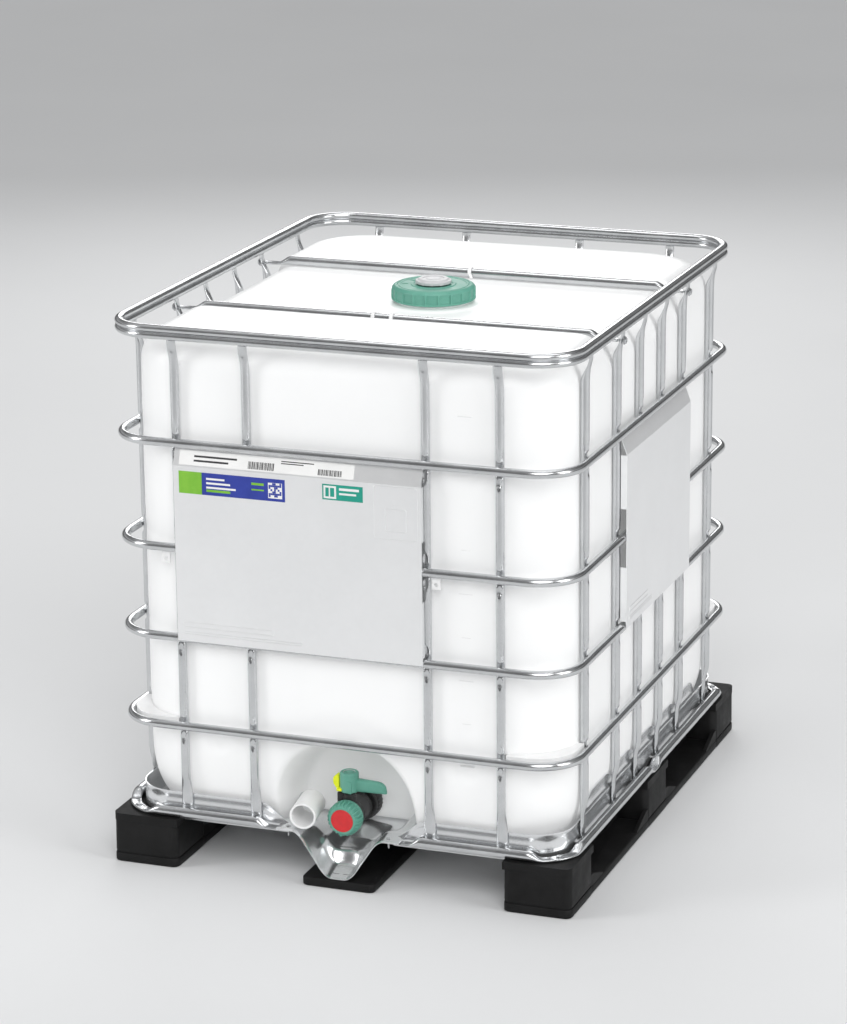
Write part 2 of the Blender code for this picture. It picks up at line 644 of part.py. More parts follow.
def make_bottle():
    bottle = mesh_object("inner_bottle", bottle_shell(0.0), BOTTLE_WHITE)
    inside = mesh_object("bottle_inside", bottle_shell(BOTTLE_WALL), BOTTLE_WHITE)
    combine(bottle, mesh_object("saddle_outside", saddle_cutter(0.0), BOTTLE_WHITE), 'DIFFERENCE')
    combine(bottle, mesh_object("alcove_outside", alcove_cutter(0.0), BOTTLE_WHITE), 'DIFFERENCE')
    combine(inside, mesh_object("saddle_inside", saddle_cutter(BOTTLE_WALL), BOTTLE_WHITE), 'DIFFERENCE')
    combine(inside, mesh_object("alcove_inside", alcove_cutter(BOTTLE_WALL), BOTTLE_WHITE), 'DIFFERENCE')
    neck_top = SADDLE_LEVEL + FILL_NECK_HEIGHT
    neck = rod(FILL_NECK_RADIUS, SADDLE_LEVEL - BOTTLE_WALL / 2.0, neck_top, 40)
    combine(bottle, mesh_object("filling_neck", neck, BOTTLE_WHITE), 'UNION')
    outlet = rod(OUTLET_NECK_RADIUS, -(ALCOVE_BACK + BOTTLE_WALL / 2.0), -NECK_FRONT, 32)
    at_outlet = Matrix.Translation((0.0, 0.0, OUTLET_HEIGHT)) @ ALONG_FRONT
    combine(bottle, mesh_object("outlet_neck", outlet, BOTTLE_WHITE, at_outlet), 'UNION')
    combine(bottle, inside, 'DIFFERENCE')
    fill_bore = rod(FILL_NECK_BORE, SADDLE_LEVEL - 2.0 * BOTTLE_WALL, neck_top + 0.01, 40)
    combine(bottle, mesh_object("filling_bore", fill_bore, BOTTLE_WHITE), 'DIFFERENCE')
    outlet_bore = rod(OUTLET_BORE, -(ALCOVE_BACK + 3.0 * BOTTLE_WALL), -NECK_FRONT + 0.01, 32)
    combine(bottle, mesh_object("outlet_bore", outlet_bore, BOTTLE_WHITE, at_outlet), 'DIFFERENCE')


def ribs(count, segments, depth):
    """A grip: two points out and two points in for every rib."""
    step = segments // count
    return lambda index: depth if index % step < step // 2 else 0.0


def make_filling_cap():
    neck_top = SADDLE_LEVEL + FILL_NECK_HEIGHT
    gasket = [(FILL_NECK_BORE, neck_top + GAP), (FILL_NECK_RADIUS, neck_top + GAP),
              (FILL_NECK_RADIUS, neck_top + GAP + GASKET_THICKNESS),
              (FILL_NECK_BORE, neck_top + GAP + GASKET_THICKNESS)]
    mesh_object("filling_gasket", turned(gasket, 32, hollow=True), SEAL_RUBBER)
    under = neck_top + 2.0 * GAP + GASKET_THICKNESS
    top = under + FILL_CAP_TOP
    low = top - FILL_CAP_HEIGHT
    inner = FILL_NECK_RADIUS + THREAD_CLEARANCE
    bore = VENT_STEM_RADIUS + RUNNING_CLEARANCE
    outer = FILL_CAP_RADIUS - FILL_CAP_RIB
    cap = [(bore, under), (inner, under), (inner, low), (outer, low), (outer, top - 0.003),
           (outer - 0.003, top), (bore, top)]
    grip = ribs(FILL_CAP_RIBS, 4 * FILL_CAP_RIBS, FILL_CAP_RIB)
    mesh_object("filling_cap", turned(cap, 4 * FILL_CAP_RIBS, hollow=True, ripple=grip), TEAL_PLASTIC)
    gasket_top = top + GAP + VENT_GASKET_THICKNESS
    seal = [(bore + 0.002, top + GAP), (VENT_RADIUS - 0.004, top + GAP),
            (VENT_RADIUS - 0.004, gasket_top), (bore + 0.002, gasket_top)]
    mesh_object("vent_gasket", turned(seal, 28, hollow=True), SEAL_RUBBER)
    seat = gasket_top + GAP
    plug = [(0.0, seat - VENT_STEM_LENGTH), (VENT_STEM_RADIUS, seat - VENT_STEM_LENGTH),
            (VENT_STEM_RADIUS, seat), (VENT_RADIUS, seat), (VENT_RADIUS, seat + VENT_HEIGHT - 0.003),
            (VENT_RADIUS - 0.003, seat + VENT_HEIGHT), (0.0, seat + VENT_HEIGHT)]
    mesh_object("vent_plug", turned(plug, 28), GREY_PLASTIC)


# ---------------------------------------------------------------- outlet valve

def along_outlet(profile_y):
    """Outlet profiles are given as (radius, y); the lathe wants the distance towards -Y."""
    return [(radius, -y) for radius, y in profile_y]


def make_valve():
    at_outlet = Matrix.Translation((0.0, 0.0, OUTLET_HEIGHT)) @ ALONG_FRONT
    seal = along_outlet([(OUTLET_BORE, NECK_FRONT - GAP), (OUTLET_NECK_RADIUS, NECK_FRONT - GAP),
                         (OUTLET_NECK_RADIUS, SEAL_FRONT), (OUTLET_BORE, SEAL_FRONT)])
    mesh_object("outlet_seal", turned(seal, 24, hollow=True), SEAL_RUBBER, at_outlet)

    spout_rear = VALVE_FRONT + SPOUT_LENGTH
    body = along_outlet([
        (OUTLET_BORE, VALVE_REAR), (VALVE_FLANGE_RADIUS, VALVE_REAR),
        (VALVE_FLANGE_RADIUS, VALVE_REAR - VALVE_FLANGE), (VALVE_TUBE_RADIUS, VALVE_REAR - VALVE_FLANGE),
        (VALVE_TUBE_RADIUS, spout_rear), (SPOUT_RADIUS, spout_rear), (SPOUT_RADIUS, VALVE_FRONT),
        (OUTLET_BORE, VALVE_FRONT)])
    valve = mesh_object("valve_body", turned(body, 32, hollow=True), BLACK_PLASTIC, at_outlet)
    at_stem = Matrix.Translation((0.0, STEM_Y, OUTLET_HEIGHT))
    boss = rod(STEM_BOSS_RADIUS, OUTLET_BORE + 0.002, STEM_BOSS_TOP, 20)
    combine(valve, mesh_object("stem_boss", boss, BLACK_PLASTIC, at_stem), 'UNION')
    stem_hole = rod(STEM_RADIUS + RUNNING_CLEARANCE, OUTLET_BORE * 0.8, STEM_BOSS_TOP + 0.01, 20)
    combine(valve, mesh_object("stem_hole", stem_hole, BLACK_PLASTIC, at_stem), 'DIFFERENCE')

    nut_inner = VALVE_FLANGE_RADIUS + RUNNING_CLEARANCE
    lip_bore = VALVE_TUBE_RADIUS + RUNNING_CLEARANCE
    nut_rear = ALCOVE_BACK - 0.002
    lip_rear = VALVE_REAR - VALVE_FLANGE - 2.0 * GAP
    lip_front = lip_rear - NUT_LIP
    nut = along_outlet([
        (nut_inner, nut_rear), (NUT_RADIUS, nut_rear), (NUT_RADIUS, lip_front),
        (lip_bore, lip_front), (lip_bore, lip_rear), (nut_inner, lip_rear)])
    grip = ribs(NUT_RIBS, 4 * NUT_RIBS, 0.001)
    mesh_object("union_nut", turned(nut, 4 * NUT_RIBS, hollow=True, ripple=grip), BLACK_PLASTIC, at_outlet)

    disc_radius = OUTLET_BORE - DISC_CLEARANCE
    disc = mesh_object("valve_disc", rod(disc_radius, -DISC_THICKNESS / 2.0, DISC_THICKNESS / 2.0, 28),
                       BLACK_PLASTIC, Matrix.Translation((0.0, STEM_Y, OUTLET_HEIGHT)) @ ALONG_FRONT)
    stem = rod(STEM_RADIUS, disc_radius * 0.9, STEM_BOSS_TOP + STEM_SOCKET - GAP, 16)
    combine(disc, mesh_object("disc_stem", stem, BLACK_PLASTIC, at_stem), 'UNION')

    make_handle()
    make_outlet_cap(at_outlet)


def make_handle():
    """Hub on the stem and a tapering lever that points to +X when the valve is shut."""
    hub_top = HUB_HEIGHT
    profile = [(0.0, 0.0), (HUB_RADIUS, 0.0), (HUB_RADIUS, hub_top - 0.003),
               (HUB_RADIUS - 0.003, hub_top), (HUB_RADIUS * 0.6, hub_top),
               (HUB_RADIUS * 0.5, hub_top - 0.004), (0.0, hub_top - 0.004)]
    at_hub = Matrix.Translation((0.0, STEM_Y, HUB_BOTTOM))
    handle = mesh_object("valve_handle", turned(profile, 28), TEAL_PLASTIC, at_hub)
    sections = []
    for share in (0.0, 0.35, 0.7, 0.9, 1.0):
        along = HUB_RADIUS * 0.5 + share * (HANDLE_REACH - HUB_RADIUS * 0.5)
        tall = HANDLE_ROOT_HEIGHT + share ** 2 * (HANDLE_TIP_HEIGHT - HANDLE_ROOT_HEIGHT)
        thick = HANDLE_THICKNESS * (1.0 - 0.55 * share ** 4)
        low = 0.001 + share ** 2 * HANDLE_TIP_HEIGHT
        middle = low + tall / 2.0
        section = []
        for out, rise in ellipse(1.0, 1.0, 12):
            square_out = math.copysign(abs(out) ** 0.6, out)
            square_rise = math.copysign(abs(rise) ** 0.6, rise)
            section.append(Vector((along, square_out * thick / 2.0, middle + square_rise * tall / 2.0)))
        sections.append(section)
    combine(handle, mesh_object("lever", loft(sections), TEAL_PLASTIC, at_hub), 'UNION')
    socket = rod(STEM_RADIUS + RUNNING_CLEARANCE, -0.01, STEM_SOCKET, 20)
    combine(handle, mesh_object("stem_socket", socket, TEAL_PLASTIC, at_hub), 'DIFFERENCE')
    middle_up = HUB_HEIGHT * 0.45
    half = CLIP_TONGUE_SIZE / 2.0 + GAP
    slot = block((-HUB_RADIUS - 0.01, -half, middle_up - half),
                 (-HUB_RADIUS + CLIP_TONGUE + 2.0 * GAP, half, middle_up + half))
    combine(handle, mesh_object("clip_slot", slot, TEAL_PLASTIC, at_hub), 'DIFFERENCE')

    rear = -HUB_RADIUS - GAP
    clip_block = block((rear - CLIP_WIDTH, -CLIP_DEPTH / 2.0, middle_up - CLIP_HEIGHT / 2.0),
                       (rear, CLIP_DEPTH / 2.0, middle_up + CLIP_HEIGHT / 2.0))
    clip = mesh_object("safety_clip", clip_block, YELLOW_PLASTIC, at_hub)
    half_tongue = CLIP_TONGUE_SIZE / 2.0
    tongue = block((rear - 0.002, -half_tongue, middle_up - half_tongue),
                   (-HUB_RADIUS + CLIP_TONGUE, half_tongue, middle_up + half_tongue))
    combine(clip, mesh_object("clip_tongue", tongue, YELLOW_PLASTIC, at_hub), 'UNION')


def make_outlet_cap(at_outlet):
    gasket_rear = VALVE_FRONT - GAP
    gasket_front = gasket_rear - GASKET_THICKNESS
    gasket = along_outlet([(OUTLET_BORE, gasket_rear), (SPOUT_RADIUS, gasket_rear),
                           (SPOUT_RADIUS, gasket_front), (OUTLET_BORE, gasket_front)])
    mesh_object("outlet_gasket", turned(gasket, 24, hollow=True), SEAL_RUBBER, at_outlet)
    inner = OUTLET_CAP_RADIUS - OUTLET_CAP_RIB - OUTLET_CAP_WALL
    outer = OUTLET_CAP_RADIUS - OUTLET_CAP_RIB
    rear = VALVE_FRONT + SPOUT_LENGTH - 0.001
    wall = gasket_front - GAP
    front = wall - OUTLET_CAP_END
    recess = front + COVER_DISC_THICKNESS + GAP
    cap = along_outlet([
        (0.0, wall), (inner, wall), (inner, rear), (outer, rear), (outer, front + OUTLET_CAP_SHOULDER),
        (OUTLET_CAP_FACE_RADIUS, front), (COVER_DISC_RADIUS + GAP, front), (COVER_DISC_RADIUS + GAP, recess),
        (0.0, recess)])
    grip = ribs(OUTLET_CAP_RIBS, 4 * OUTLET_CAP_RIBS, OUTLET_CAP_RIB)
    mesh_object("outlet_cap", turned(cap, 4 * OUTLET_CAP_RIBS, ripple=grip), TEAL_PLASTIC, at_outlet)
    disc = along_outlet([(0.0, recess - GAP), (COVER_DISC_RADIUS, recess - GAP),
                         (COVER_DISC_RADIUS, recess - COVER_DISC_THICKNESS),
                         (0.0, recess - COVER_DISC_THICKNESS)])
    mesh_object("outlet_cap_disc", turned(disc, 32), RED_PLASTIC, at_outlet)


def make_spare_spout():
    """A loose outlet spout lying in the alcove beside the valve, open at both ends."""
    bore = SPARE_RADIUS - SPARE_WALL
    profile = [(bore, 0.0), (SPARE_RADIUS, 0.0), (SPARE_RADIUS, -SPARE_LENGTH), (bore, -SPARE_LENGTH)]
    turn = Matrix.Rotation(SPARE_TURN, 4, 'Z')
    front = Matrix.Translation((-SPARE_OFFSET, -SPARE_FRONT, SPARE_HEIGHT))
    mesh_object("spare_spout", turned(profile, 28, hollow=True), WHITE_PLASTIC, front @ turn @ ALONG_FRONT)


# ---------------------------------------------------------------- pan with its trough

def make_pan():
    outer = rounded_path(PAN_HALF_X, PAN_HALF_Y, PAN_CORNER_RADIUS, 6)
    inner = rounded_path(PAN_HALF_X - PAN_SHEET, PAN_HALF_Y - PAN_SHEET, PAN_CORNER_RADIUS - PAN_SHEET, 6)
    floor_top = PAN_FLOOR_LEVEL + SHEET
    layers = ((outer, PAN_FLOOR_LEVEL), (outer, PAN_TOP), (inner, PAN_TOP), (inner, floor_top))
    sections = [[point + Vector((0.0, 0.0, level)) for point, out in path] for path, level in layers]
    pan = mesh_object("base_pan", loft(sections), SHEET_STEEL)
    low = PAN_FLOOR_LEVEL - 0.01
    high = PAN_TOP + 0.01
    notch_outline = [(-NOTCH_BOTTOM, low), (NOTCH_BOTTOM, low), (NOTCH_TOP, high), (-NOTCH_TOP, high)]
    notch_rear = -(PAN_HALF_Y - 0.020)
    front = -(PAN_HALF_Y + 0.020)
    notch = loft([[Vector((x, y, z)) for x, z in notch_outline] for y in (front, notch_rear)])
    combine(pan, mesh_object("notch", notch, SHEET_STEEL), 'DIFFERENCE')
    hole_outline = [(-TROUGH_HALF_MOUTH, front), (TROUGH_HALF_MOUTH, front),
                    (TROUGH_REAR_HALF, -TROUGH_REAR - 0.004), (-TROUGH_REAR_HALF, -TROUGH_REAR - 0.004)]
    hole = loft([[Vector((x, y, z)) for x, y in hole_outline] for z in (low, high)])
    combine(pan, mesh_object("trough_hole", hole, SHEET_STEEL), 'DIFFERENCE')
    combine(pan, mesh_object("trough", trough(), SHEET_STEEL), 'UNION')


def trough():
    """A channel that drops from the pan floor to the middle runner as it comes forward."""
    sections = []
    flange_front = LEDGE_TOP + GAP + 2.0 * BASE_RIM_FLAT + GAP
    floor_front = RUNNER_BASE + GAP
    rear_level = PAN_FLOOR_LEVEL - 0.0005
    thick = SHEET + 0.001
    for step in range(9):
        share = step / 8
        y = -(TROUGH_REAR + share * (TROUGH_FRONT - TROUGH_REAR))
        ease = share * share * (3.0 - 2.0 * share)
        floor = rear_level + (floor_front - rear_level) * ease
        flange = rear_level + (flange_front - rear_level) * min(1.0, ease * 1.3)
        half_floor = TROUGH_HALF_FLOOR
        mouth = TROUGH_REAR_HALF + share * (TROUGH_HALF_MOUTH - TROUGH_REAR_HALF)
        wide = mouth + 0.012 + share * (TROUGH_HALF_WIDTH - TROUGH_HALF_MOUTH - 0.012)
        shape = [(wide, 1.0), (mouth, 1.0), (mouth * 0.86, 0.86), (mouth * 0.62, 0.42),
                 (half_floor * 1.25, 0.06), (half_floor * 0.6, 0.0)]
        under = [Vector((x, y, floor + rise * (flange - floor))) for x, rise in shape]
        under += [Vector((-point.x, y, point.z)) for point in reversed(under)]
        over = [point + Vector((0.0, 0.0, thick)) for point in reversed(under)]
        sections.append(under + over)
    return loft(sections)


# ---------------------------------------------------------------- plates, tags and guards

def plate_profile(ring_half):
    """(reach, height) of a label plate's section: tucked under one ring, hooked over the other."""
    outer = ring_half + RING_RADIUS
    back = outer + GAP
    tuck = ring_half - POST_INSET + POST_RADIUS + GAP
    top = RING_HEIGHTS[0] - RING_RADIUS - GAP
    fold = top - PLATE_FOLD
    bottom = RING_HEIGHTS[2] - PLATE_LIP
    sheet = PLATE_SHEET
    return [(back, bottom), (back, fold), (tuck, top), (tuck + sheet, top),
            (back + sheet, fold), (back + sheet, bottom)], tuck, back, fold, bottom


def make_plate(name, ring_half, low, high, matrix):
    """A label plate facing -Y before it is turned into place, from x = low to x = high."""
    profile, tuck, back, fold, bottom = plate_profile(ring_half)
    ends = [[Vector((x, -reach, rise)) for reach, rise in profile] for x in (low, high)]
    plate = mesh_object(name, loft(ends), SHEET_STEEL, matrix)
    ring = RING_HEIGHTS[1]
    inner = back - PLATE_FLANGE
    for label, start in (("low", low), ("high", high - PLATE_SHEET)):
        for part, (base, top) in (("lower", (bottom + RING_RADIUS + 0.006, ring - PLATE_NOTCH)),
                                  ("upper", (ring + PLATE_NOTCH, fold - 0.002))):
            flange = block((start, -(back + PLATE_SHEET / 2.0), base), (start + PLATE_SHEET, -inner, top))
            combine(plate, mesh_object(f"{name}_{label}_{part}", flange, SHEET_STEEL, matrix), 'UNION')


def make_plates():
    left = FRONT_POSTS[0] + 0.002
    right = FRONT_POSTS[2] - 0.002
    make_plate("front_plate", RING_HALF_Y, left, right, Matrix.Identity(4))
    turn = Matrix.Rotation(math.pi / 2.0, 4, 'Z')
    make_plate("side_plate", RING_HALF_X, SIDE_POSTS[1] - 0.004, SIDE_POSTS[4] - 0.010, turn)


def make_tags():
    top = RING_HEIGHTS[1] - RING_RADIUS - GAP
    for name, x in (("left", FRONT_POSTS[0] - TAG_OFFSET), ("right", FRONT_POSTS[2] + TAG_OFFSET)):
        half = TAG_WIDTH / 2.0
        bm = block((x - half, -RING_HALF_Y - TAG_SHEET / 2.0, top - TAG_HEIGHT),
                   (x + half, -RING_HALF_Y + TAG_SHEET / 2.0, top))
        tag = mesh_object(f"seal_tag_{name}", bm, WHITE_PLASTIC)
        centre = Matrix.Translation((x, -RING_HALF_Y, top - TAG_HEIGHT * 0.6)) @ ALONG_FRONT
        hole = rod(TAG_HOLE, -0.02, 0.02, 12)
        combine(tag, mesh_object(f"tag_hole_{name}", hole, WHITE_PLASTIC, centre), 'DIFFERENCE')


def make_guards():
    """Wedges that fill the corner between the bottle and the lowest ring."""
    level = RING_HEIGHTS[3]
    clear = GAP + RING_RADIUS
    for name, sign_x, sign_y in (("front_left", -1, -1), ("front_right", 1, -1),
                                 ("rear_left", -1, 1), ("rear_right", 1, 1)):
        outline = []
        start_x = FRONT_POSTS[3] + POST_RADIUS + 0.002
        start_y = SIDE_POSTS[5] + POST_RADIUS + 0.002
        half_x = RING_HALF_X - clear
        half_y = RING_HALF_Y - clear
        radius = RING_CORNER_RADIUS - clear
        outline.append((start_x, half_y))
        for step in range(CORNER_STEPS + 1):
            angle = math.pi / 2.0 * (1.0 - step / CORNER_STEPS)
            corner = (half_x - radius, half_y - radius)
            outline.append((corner[0] + radius * math.cos(angle), corner[1] + radius * math.sin(angle)))
        outline.append((half_x, start_y))
        radius = BOTTLE_CORNER_RADIUS + GAP
        half_x = BOTTLE_HALF_X + GAP
        half_y = BOTTLE_HALF_Y + GAP
        outline.append((half_x, start_y))
        for step in range(8):
            angle = math.pi / 2.0 * step / 7
            bow = radius + 0.002 * math.sin(2.0 * angle)
            outline.append((half_x - radius + bow * math.cos(angle), half_y - radius + bow * math.sin(angle)))
        outline.append((start_x, half_y))
        ends = [[Vector((sign_x * x, sign_y * y, level + rise)) for x, y in outline]
                for rise in (-GUARD_HEIGHT / 2.0, GUARD_HEIGHT / 2.0)]
        mesh_object(f"corner_guard_{name}", loft(ends), WHITE_PLASTIC)


# ---------------------------------------------------------------- pallet

def runner_profile(feet, top):
    """(y, z) outline of a runner from the side: a thin sole with feet and sloping gussets."""
    half = PALLET_LENGTH / 2.0
    knee = RUNNER_BASE + GUSSET_HEIGHT
    outline = [(-half, 0.0), (half, 0.0)]
    for low, high in reversed(feet):
        if high < half - 0.001:
            outline += [(high + GUSSET_LENGTH, RUNNER_BASE), (high, knee)]
        outline += [(high, top), (low, top)]
        if low > -half + 0.001:
            outline += [(low, knee), (low - GUSSET_LENGTH, RUNNER_BASE)]
    if feet[0][0] > -half + 0.001:
        outline.append((-half, RUNNER_BASE))
    return outline


def soften(obj, width):
    bevel = obj.modifiers.new("soft_edges", 'BEVEL')
    bevel.width = width
    bevel.segments = 2
    bevel.limit_method = 'ANGLE'
    bevel.angle_limit = math.radians(60.0)


def make_pallet():
    half = PALLET_LENGTH / 2.0
    front = (-half, -half + FOOT_LENGTH)
    middle = (-FOOT_LENGTH / 2.0, FOOT_LENGTH / 2.0)
    rear = (half - FOOT_LENGTH, half)
    high = PALLET_WIDTH / 2.0
    runners = (("left", -high, -high + RUNNER_WIDTH, (front, middle, rear)),
               ("centre", -CENTRE_RUNNER_WIDTH / 2.0, CENTRE_RUNNER_WIDTH / 2.0, (middle, rear)),
               ("right", high - RUNNER_WIDTH, high, (front, middle, rear)))
    for name, low_x, high_x, feet in runners:
        ends = [[Vector((x, y, z)) for y, z in runner_profile(feet, LEDGE_TOP)] for x in (low_x, high_x)]
        runner = mesh_object(f"pallet_runner_{name}", loft(ends), PALLET_PLASTIC)
        soften(runner, FOOT_BEVEL)
        clear = 0.002
        inner = rounded_path(PAN_HALF_X + clear, PAN_HALF_Y + clear, PAN_CORNER_RADIUS + clear, 6)
        seat = loft([[point + Vector((0.0, 0.0, level)) for point, out in inner]
                     for level in (FOOT_TOP, LEDGE_TOP + 0.02)])
        combine(runner, mesh_object(f"pan_seat_{name}", seat, PALLET_PLASTIC), 'DIFFERENCE')


make_rings()
make_top_rim()
make_base_rim()
make_posts()
make_crossbars()
make_bottle()
make_filling_cap()
make_valve()
make_spare_spout()
make_pan()
make_plates()
make_tags()
make_guards()
make_pallet()
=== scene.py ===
"""Looks of the intermediate bulk container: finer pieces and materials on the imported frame.

Metres, +Z up, the outlet valve faces -Y.
"""
import math

import bmesh
import bpy
from mathutils import Matrix, Vector, noise


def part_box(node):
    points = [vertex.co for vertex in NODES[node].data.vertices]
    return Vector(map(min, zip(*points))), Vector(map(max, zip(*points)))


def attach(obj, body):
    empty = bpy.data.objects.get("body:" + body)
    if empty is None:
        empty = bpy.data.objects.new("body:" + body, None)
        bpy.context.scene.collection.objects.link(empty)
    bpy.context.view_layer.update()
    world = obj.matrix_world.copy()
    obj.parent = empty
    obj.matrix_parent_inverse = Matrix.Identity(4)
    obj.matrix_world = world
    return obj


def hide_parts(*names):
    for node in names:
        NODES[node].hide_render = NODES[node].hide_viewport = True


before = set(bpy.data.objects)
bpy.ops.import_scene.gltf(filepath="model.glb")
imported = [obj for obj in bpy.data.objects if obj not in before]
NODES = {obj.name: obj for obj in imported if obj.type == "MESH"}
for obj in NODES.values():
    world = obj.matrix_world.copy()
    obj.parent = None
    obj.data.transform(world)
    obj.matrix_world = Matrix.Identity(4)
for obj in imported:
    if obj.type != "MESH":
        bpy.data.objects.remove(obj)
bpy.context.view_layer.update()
BASE = "container"


def node_middle(node):
    low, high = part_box(node)
    return [(low[axis] + high[axis]) / 2.0 for axis in range(3)]


def node_half(node):
    low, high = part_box(node)
    return [(high[axis] - low[axis]) / 2.0 for axis in range(3)]


# ---------------------------------------------------------------- sizes

RINGS = ("cage_ring_2", "cage_ring_3", "cage_ring_4", "cage_ring_5")
RING_LEVELS = [node_middle(name)[2] for name in RINGS]
RING_RADIUS = 0.009
RING_HALF_X = node_half("cage_ring_2")[0] - RING_RADIUS
RING_HALF_Y = node_half("cage_ring_2")[1] - RING_RADIUS
RING_CORNER = 0.090
RIM_LEVEL = node_middle("cage_top_rim")[2]
RIM_HALF = node_half("cage_top_rim")
RIM_OUT = 0.0096
RIM_BEAD = 0.008
RIM_BEAD_RISE = 0.007
BASE_RIM_RADIUS = 0.011
BASE_RIM_HALF = node_half("cage_base_rim")
BASE_RIM_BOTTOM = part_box("cage_base_rim")[0][2]
BASE_RIM_FLAT = 0.003
BASE_RIM_ENDS = (0.120, -0.128)
FLAT_EASE = 0.026
DISH_DEPTH = 0.0012
POST_RADIUS = 0.009
POST_DENTED = 0.0034
POST_PRESSED = 0.0058
DENT_REACH = 0.050
POST_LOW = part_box("cage_post_front_1")[0][2]
POST_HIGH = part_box("cage_post_front_1")[1][2]
POST_INSET = 0.0127
POST_FOOT_SHIFT = -0.0036
POST_TOP_SHIFT = 0.0121
CROSSBAR_RADIUS = 0.010
CROSSBAR_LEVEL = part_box("crossbar_front")[1][2] - CROSSBAR_RADIUS
PAN_TOP = 0.1545
PAN_FLOOR = 0.0965
BOTTLE_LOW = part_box("inner_bottle")[0]
BOTTLE_HALF_X = 0.4668
BOTTLE_HALF_Y = 0.5588
HEEL_RISE = 0.130
HEEL_PULL = 0.062
SHOULDER = 0.060
SHOULDER_LEVEL = 1.118
SADDLE_LEVEL = 1.098
SWELL = 0.0052
NECK_TOP = 1.126
OUTLET_Z = node_middle("outlet_cap")[2]
STEM_Y = node_middle("valve_disc")[1]
HUB_RADIUS = 0.0195


# ---------------------------------------------------------------- materials

def node_of(tree, kind, **values):
    made = tree.nodes.new(kind)
    for key, value in values.items():
        if key.startswith("in_"):
            made.inputs[key[3:].replace("_", " ")].default_value = value
        else:
            setattr(made, key, value)
    return made


def mix_colour(tree, factor, low, high):
    ramp = tree.nodes.new("ShaderNodeValToRGB")
    ramp.color_ramp.elements[0].position = 0.3
    ramp.color_ramp.elements[1].position = 0.7
    ramp.color_ramp.elements[0].color = (*low, 1.0)
    ramp.color_ramp.elements[1].color = (*high, 1.0)
    tree.links.new(factor, ramp.inputs["Fac"])
    return ramp.outputs["Color"]


def remap(tree, value, low, high):
    made = node_of(tree, "ShaderNodeMapRange")
    made.inputs["From Min"].default_value = 0.3
    made.inputs["From Max"].default_value = 0.7
    made.inputs["To Min"].default_value = low
    made.inputs["To Max"].default_value = high
    tree.links.new(value, made.inputs["Value"])
    return made.outputs["Result"]


def surface(name, dark, light, rough, patch=9.0, grain=420.0, bump=0.0004, stretch=(1.0, 1.0, 1.0),
            metallic=0.0, spangle=0.0, subsurface=0.0, coat=0.0, painted_glow=0.0, shine=0.5):
    """A material whose colour and roughness drift in patches, with a fine grain that catches the light; an
    optional faint white emission adds painted light.
    """
    material = bpy.data.materials.new(name)
    material.use_nodes = True
    tree = material.node_tree
    shader = tree.nodes["Principled BSDF"]
    shader.inputs["Metallic"].default_value = metallic
    shader.inputs["Specular IOR Level"].default_value = shine
    place = tree.nodes.new("ShaderNodeTexCoord")
    scaled = tree.nodes.new("ShaderNodeMapping")
    scaled.inputs["Scale"].default_value = stretch
    tree.links.new(place.outputs["Object"], scaled.inputs["Vector"])
    coarse = node_of(tree, "ShaderNodeTexNoise", in_Scale=patch, in_Detail=5.0, in_Roughness=0.6)
    tree.links.new(scaled.outputs["Vector"], coarse.inputs["Vector"])
    fine = node_of(tree, "ShaderNodeTexNoise", in_Scale=grain, in_Detail=3.0)
    tree.links.new(scaled.outputs["Vector"], fine.inputs["Vector"])
    factor = coarse.outputs["Fac"]
    if spangle:
        cells = node_of(tree, "ShaderNodeTexVoronoi", in_Scale=90.0)
        tree.links.new(place.outputs["Object"], cells.inputs["Vector"])
        blend = node_of(tree, "ShaderNodeMix", data_type='FLOAT')
        blend.inputs[0].default_value = spangle
        tree.links.new(coarse.outputs["Fac"], blend.inputs[2])
        tree.links.new(cells.outputs["Color"], blend.inputs[3])
        factor = blend.outputs[0]
    tree.links.new(mix_colour(tree, factor, dark, light), shader.inputs["Base Color"])
    tree.links.new(remap(tree, factor, rough[0], rough[1]), shader.inputs["Roughness"])
    relief = node_of(tree, "ShaderNodeBump", in_Strength=0.6, in_Distance=bump)
    tree.links.new(fine.outputs["Fac"], relief.inputs["Height"])
    tree.links.new(relief.outputs["Normal"], shader.inputs["Normal"])
    if subsurface:
        shader.inputs["Subsurface Weight"].default_value = subsurface
        shader.inputs["Subsurface Radius"].default_value = (0.03, 0.03, 0.03)
        shader.inputs["Subsurface Scale"].default_value = 0.5
    # Painted light: a faint white emission that lifts painted brightness into shaded parts of a surface that is
    # no lamp.
    if painted_glow:
        shader.inputs["Emission Color"].default_value = (1.0, 1.0, 1.0, 1.0)
        shader.inputs["Emission Strength"].default_value = painted_glow
    if coat:
        shader.inputs["Coat Weight"].default_value = coat
        shader.inputs["Coat Roughness"].default_value = 0.2
    return material


ZINC = surface("zinc_tube", (0.58, 0.59, 0.60), (0.68, 0.69, 0.70), (0.17, 0.25), patch=14.0, grain=260.0,
               bump=0.00004, metallic=0.94, spangle=0.08)
ZINC_SHEET = surface("zinc_sheet", (0.86, 0.865, 0.87), (0.91, 0.915, 0.92), (0.28, 0.36), patch=5.0,
                     grain=300.0, bump=0.00003, metallic=0.55, spangle=0.1)
ZINC_BRIGHT = surface("zinc_pan", (0.74, 0.75, 0.76), (0.82, 0.83, 0.84), (0.17, 0.24), patch=8.0,
                      grain=300.0, bump=0.00002, metallic=0.90, spangle=0.05)
ZINC_SCREW = surface("zinc_screw", (0.42, 0.43, 0.44), (0.62, 0.63, 0.64), (0.22, 0.34), patch=160.0,
                     grain=900.0, bump=0.0001, metallic=0.94)
# The bottle plastic carries a painted glow, a faint white emission that lightens the shade in the alcove, in
# the hollows and beside the tubes.
BOTTLE = surface("bottle_plastic_painted_glow", (0.88, 0.885, 0.885), (0.92, 0.925, 0.925), (0.34, 0.46), patch=3.0,
                 grain=140.0, bump=0.0003, subsurface=0.25, painted_glow=0.10)
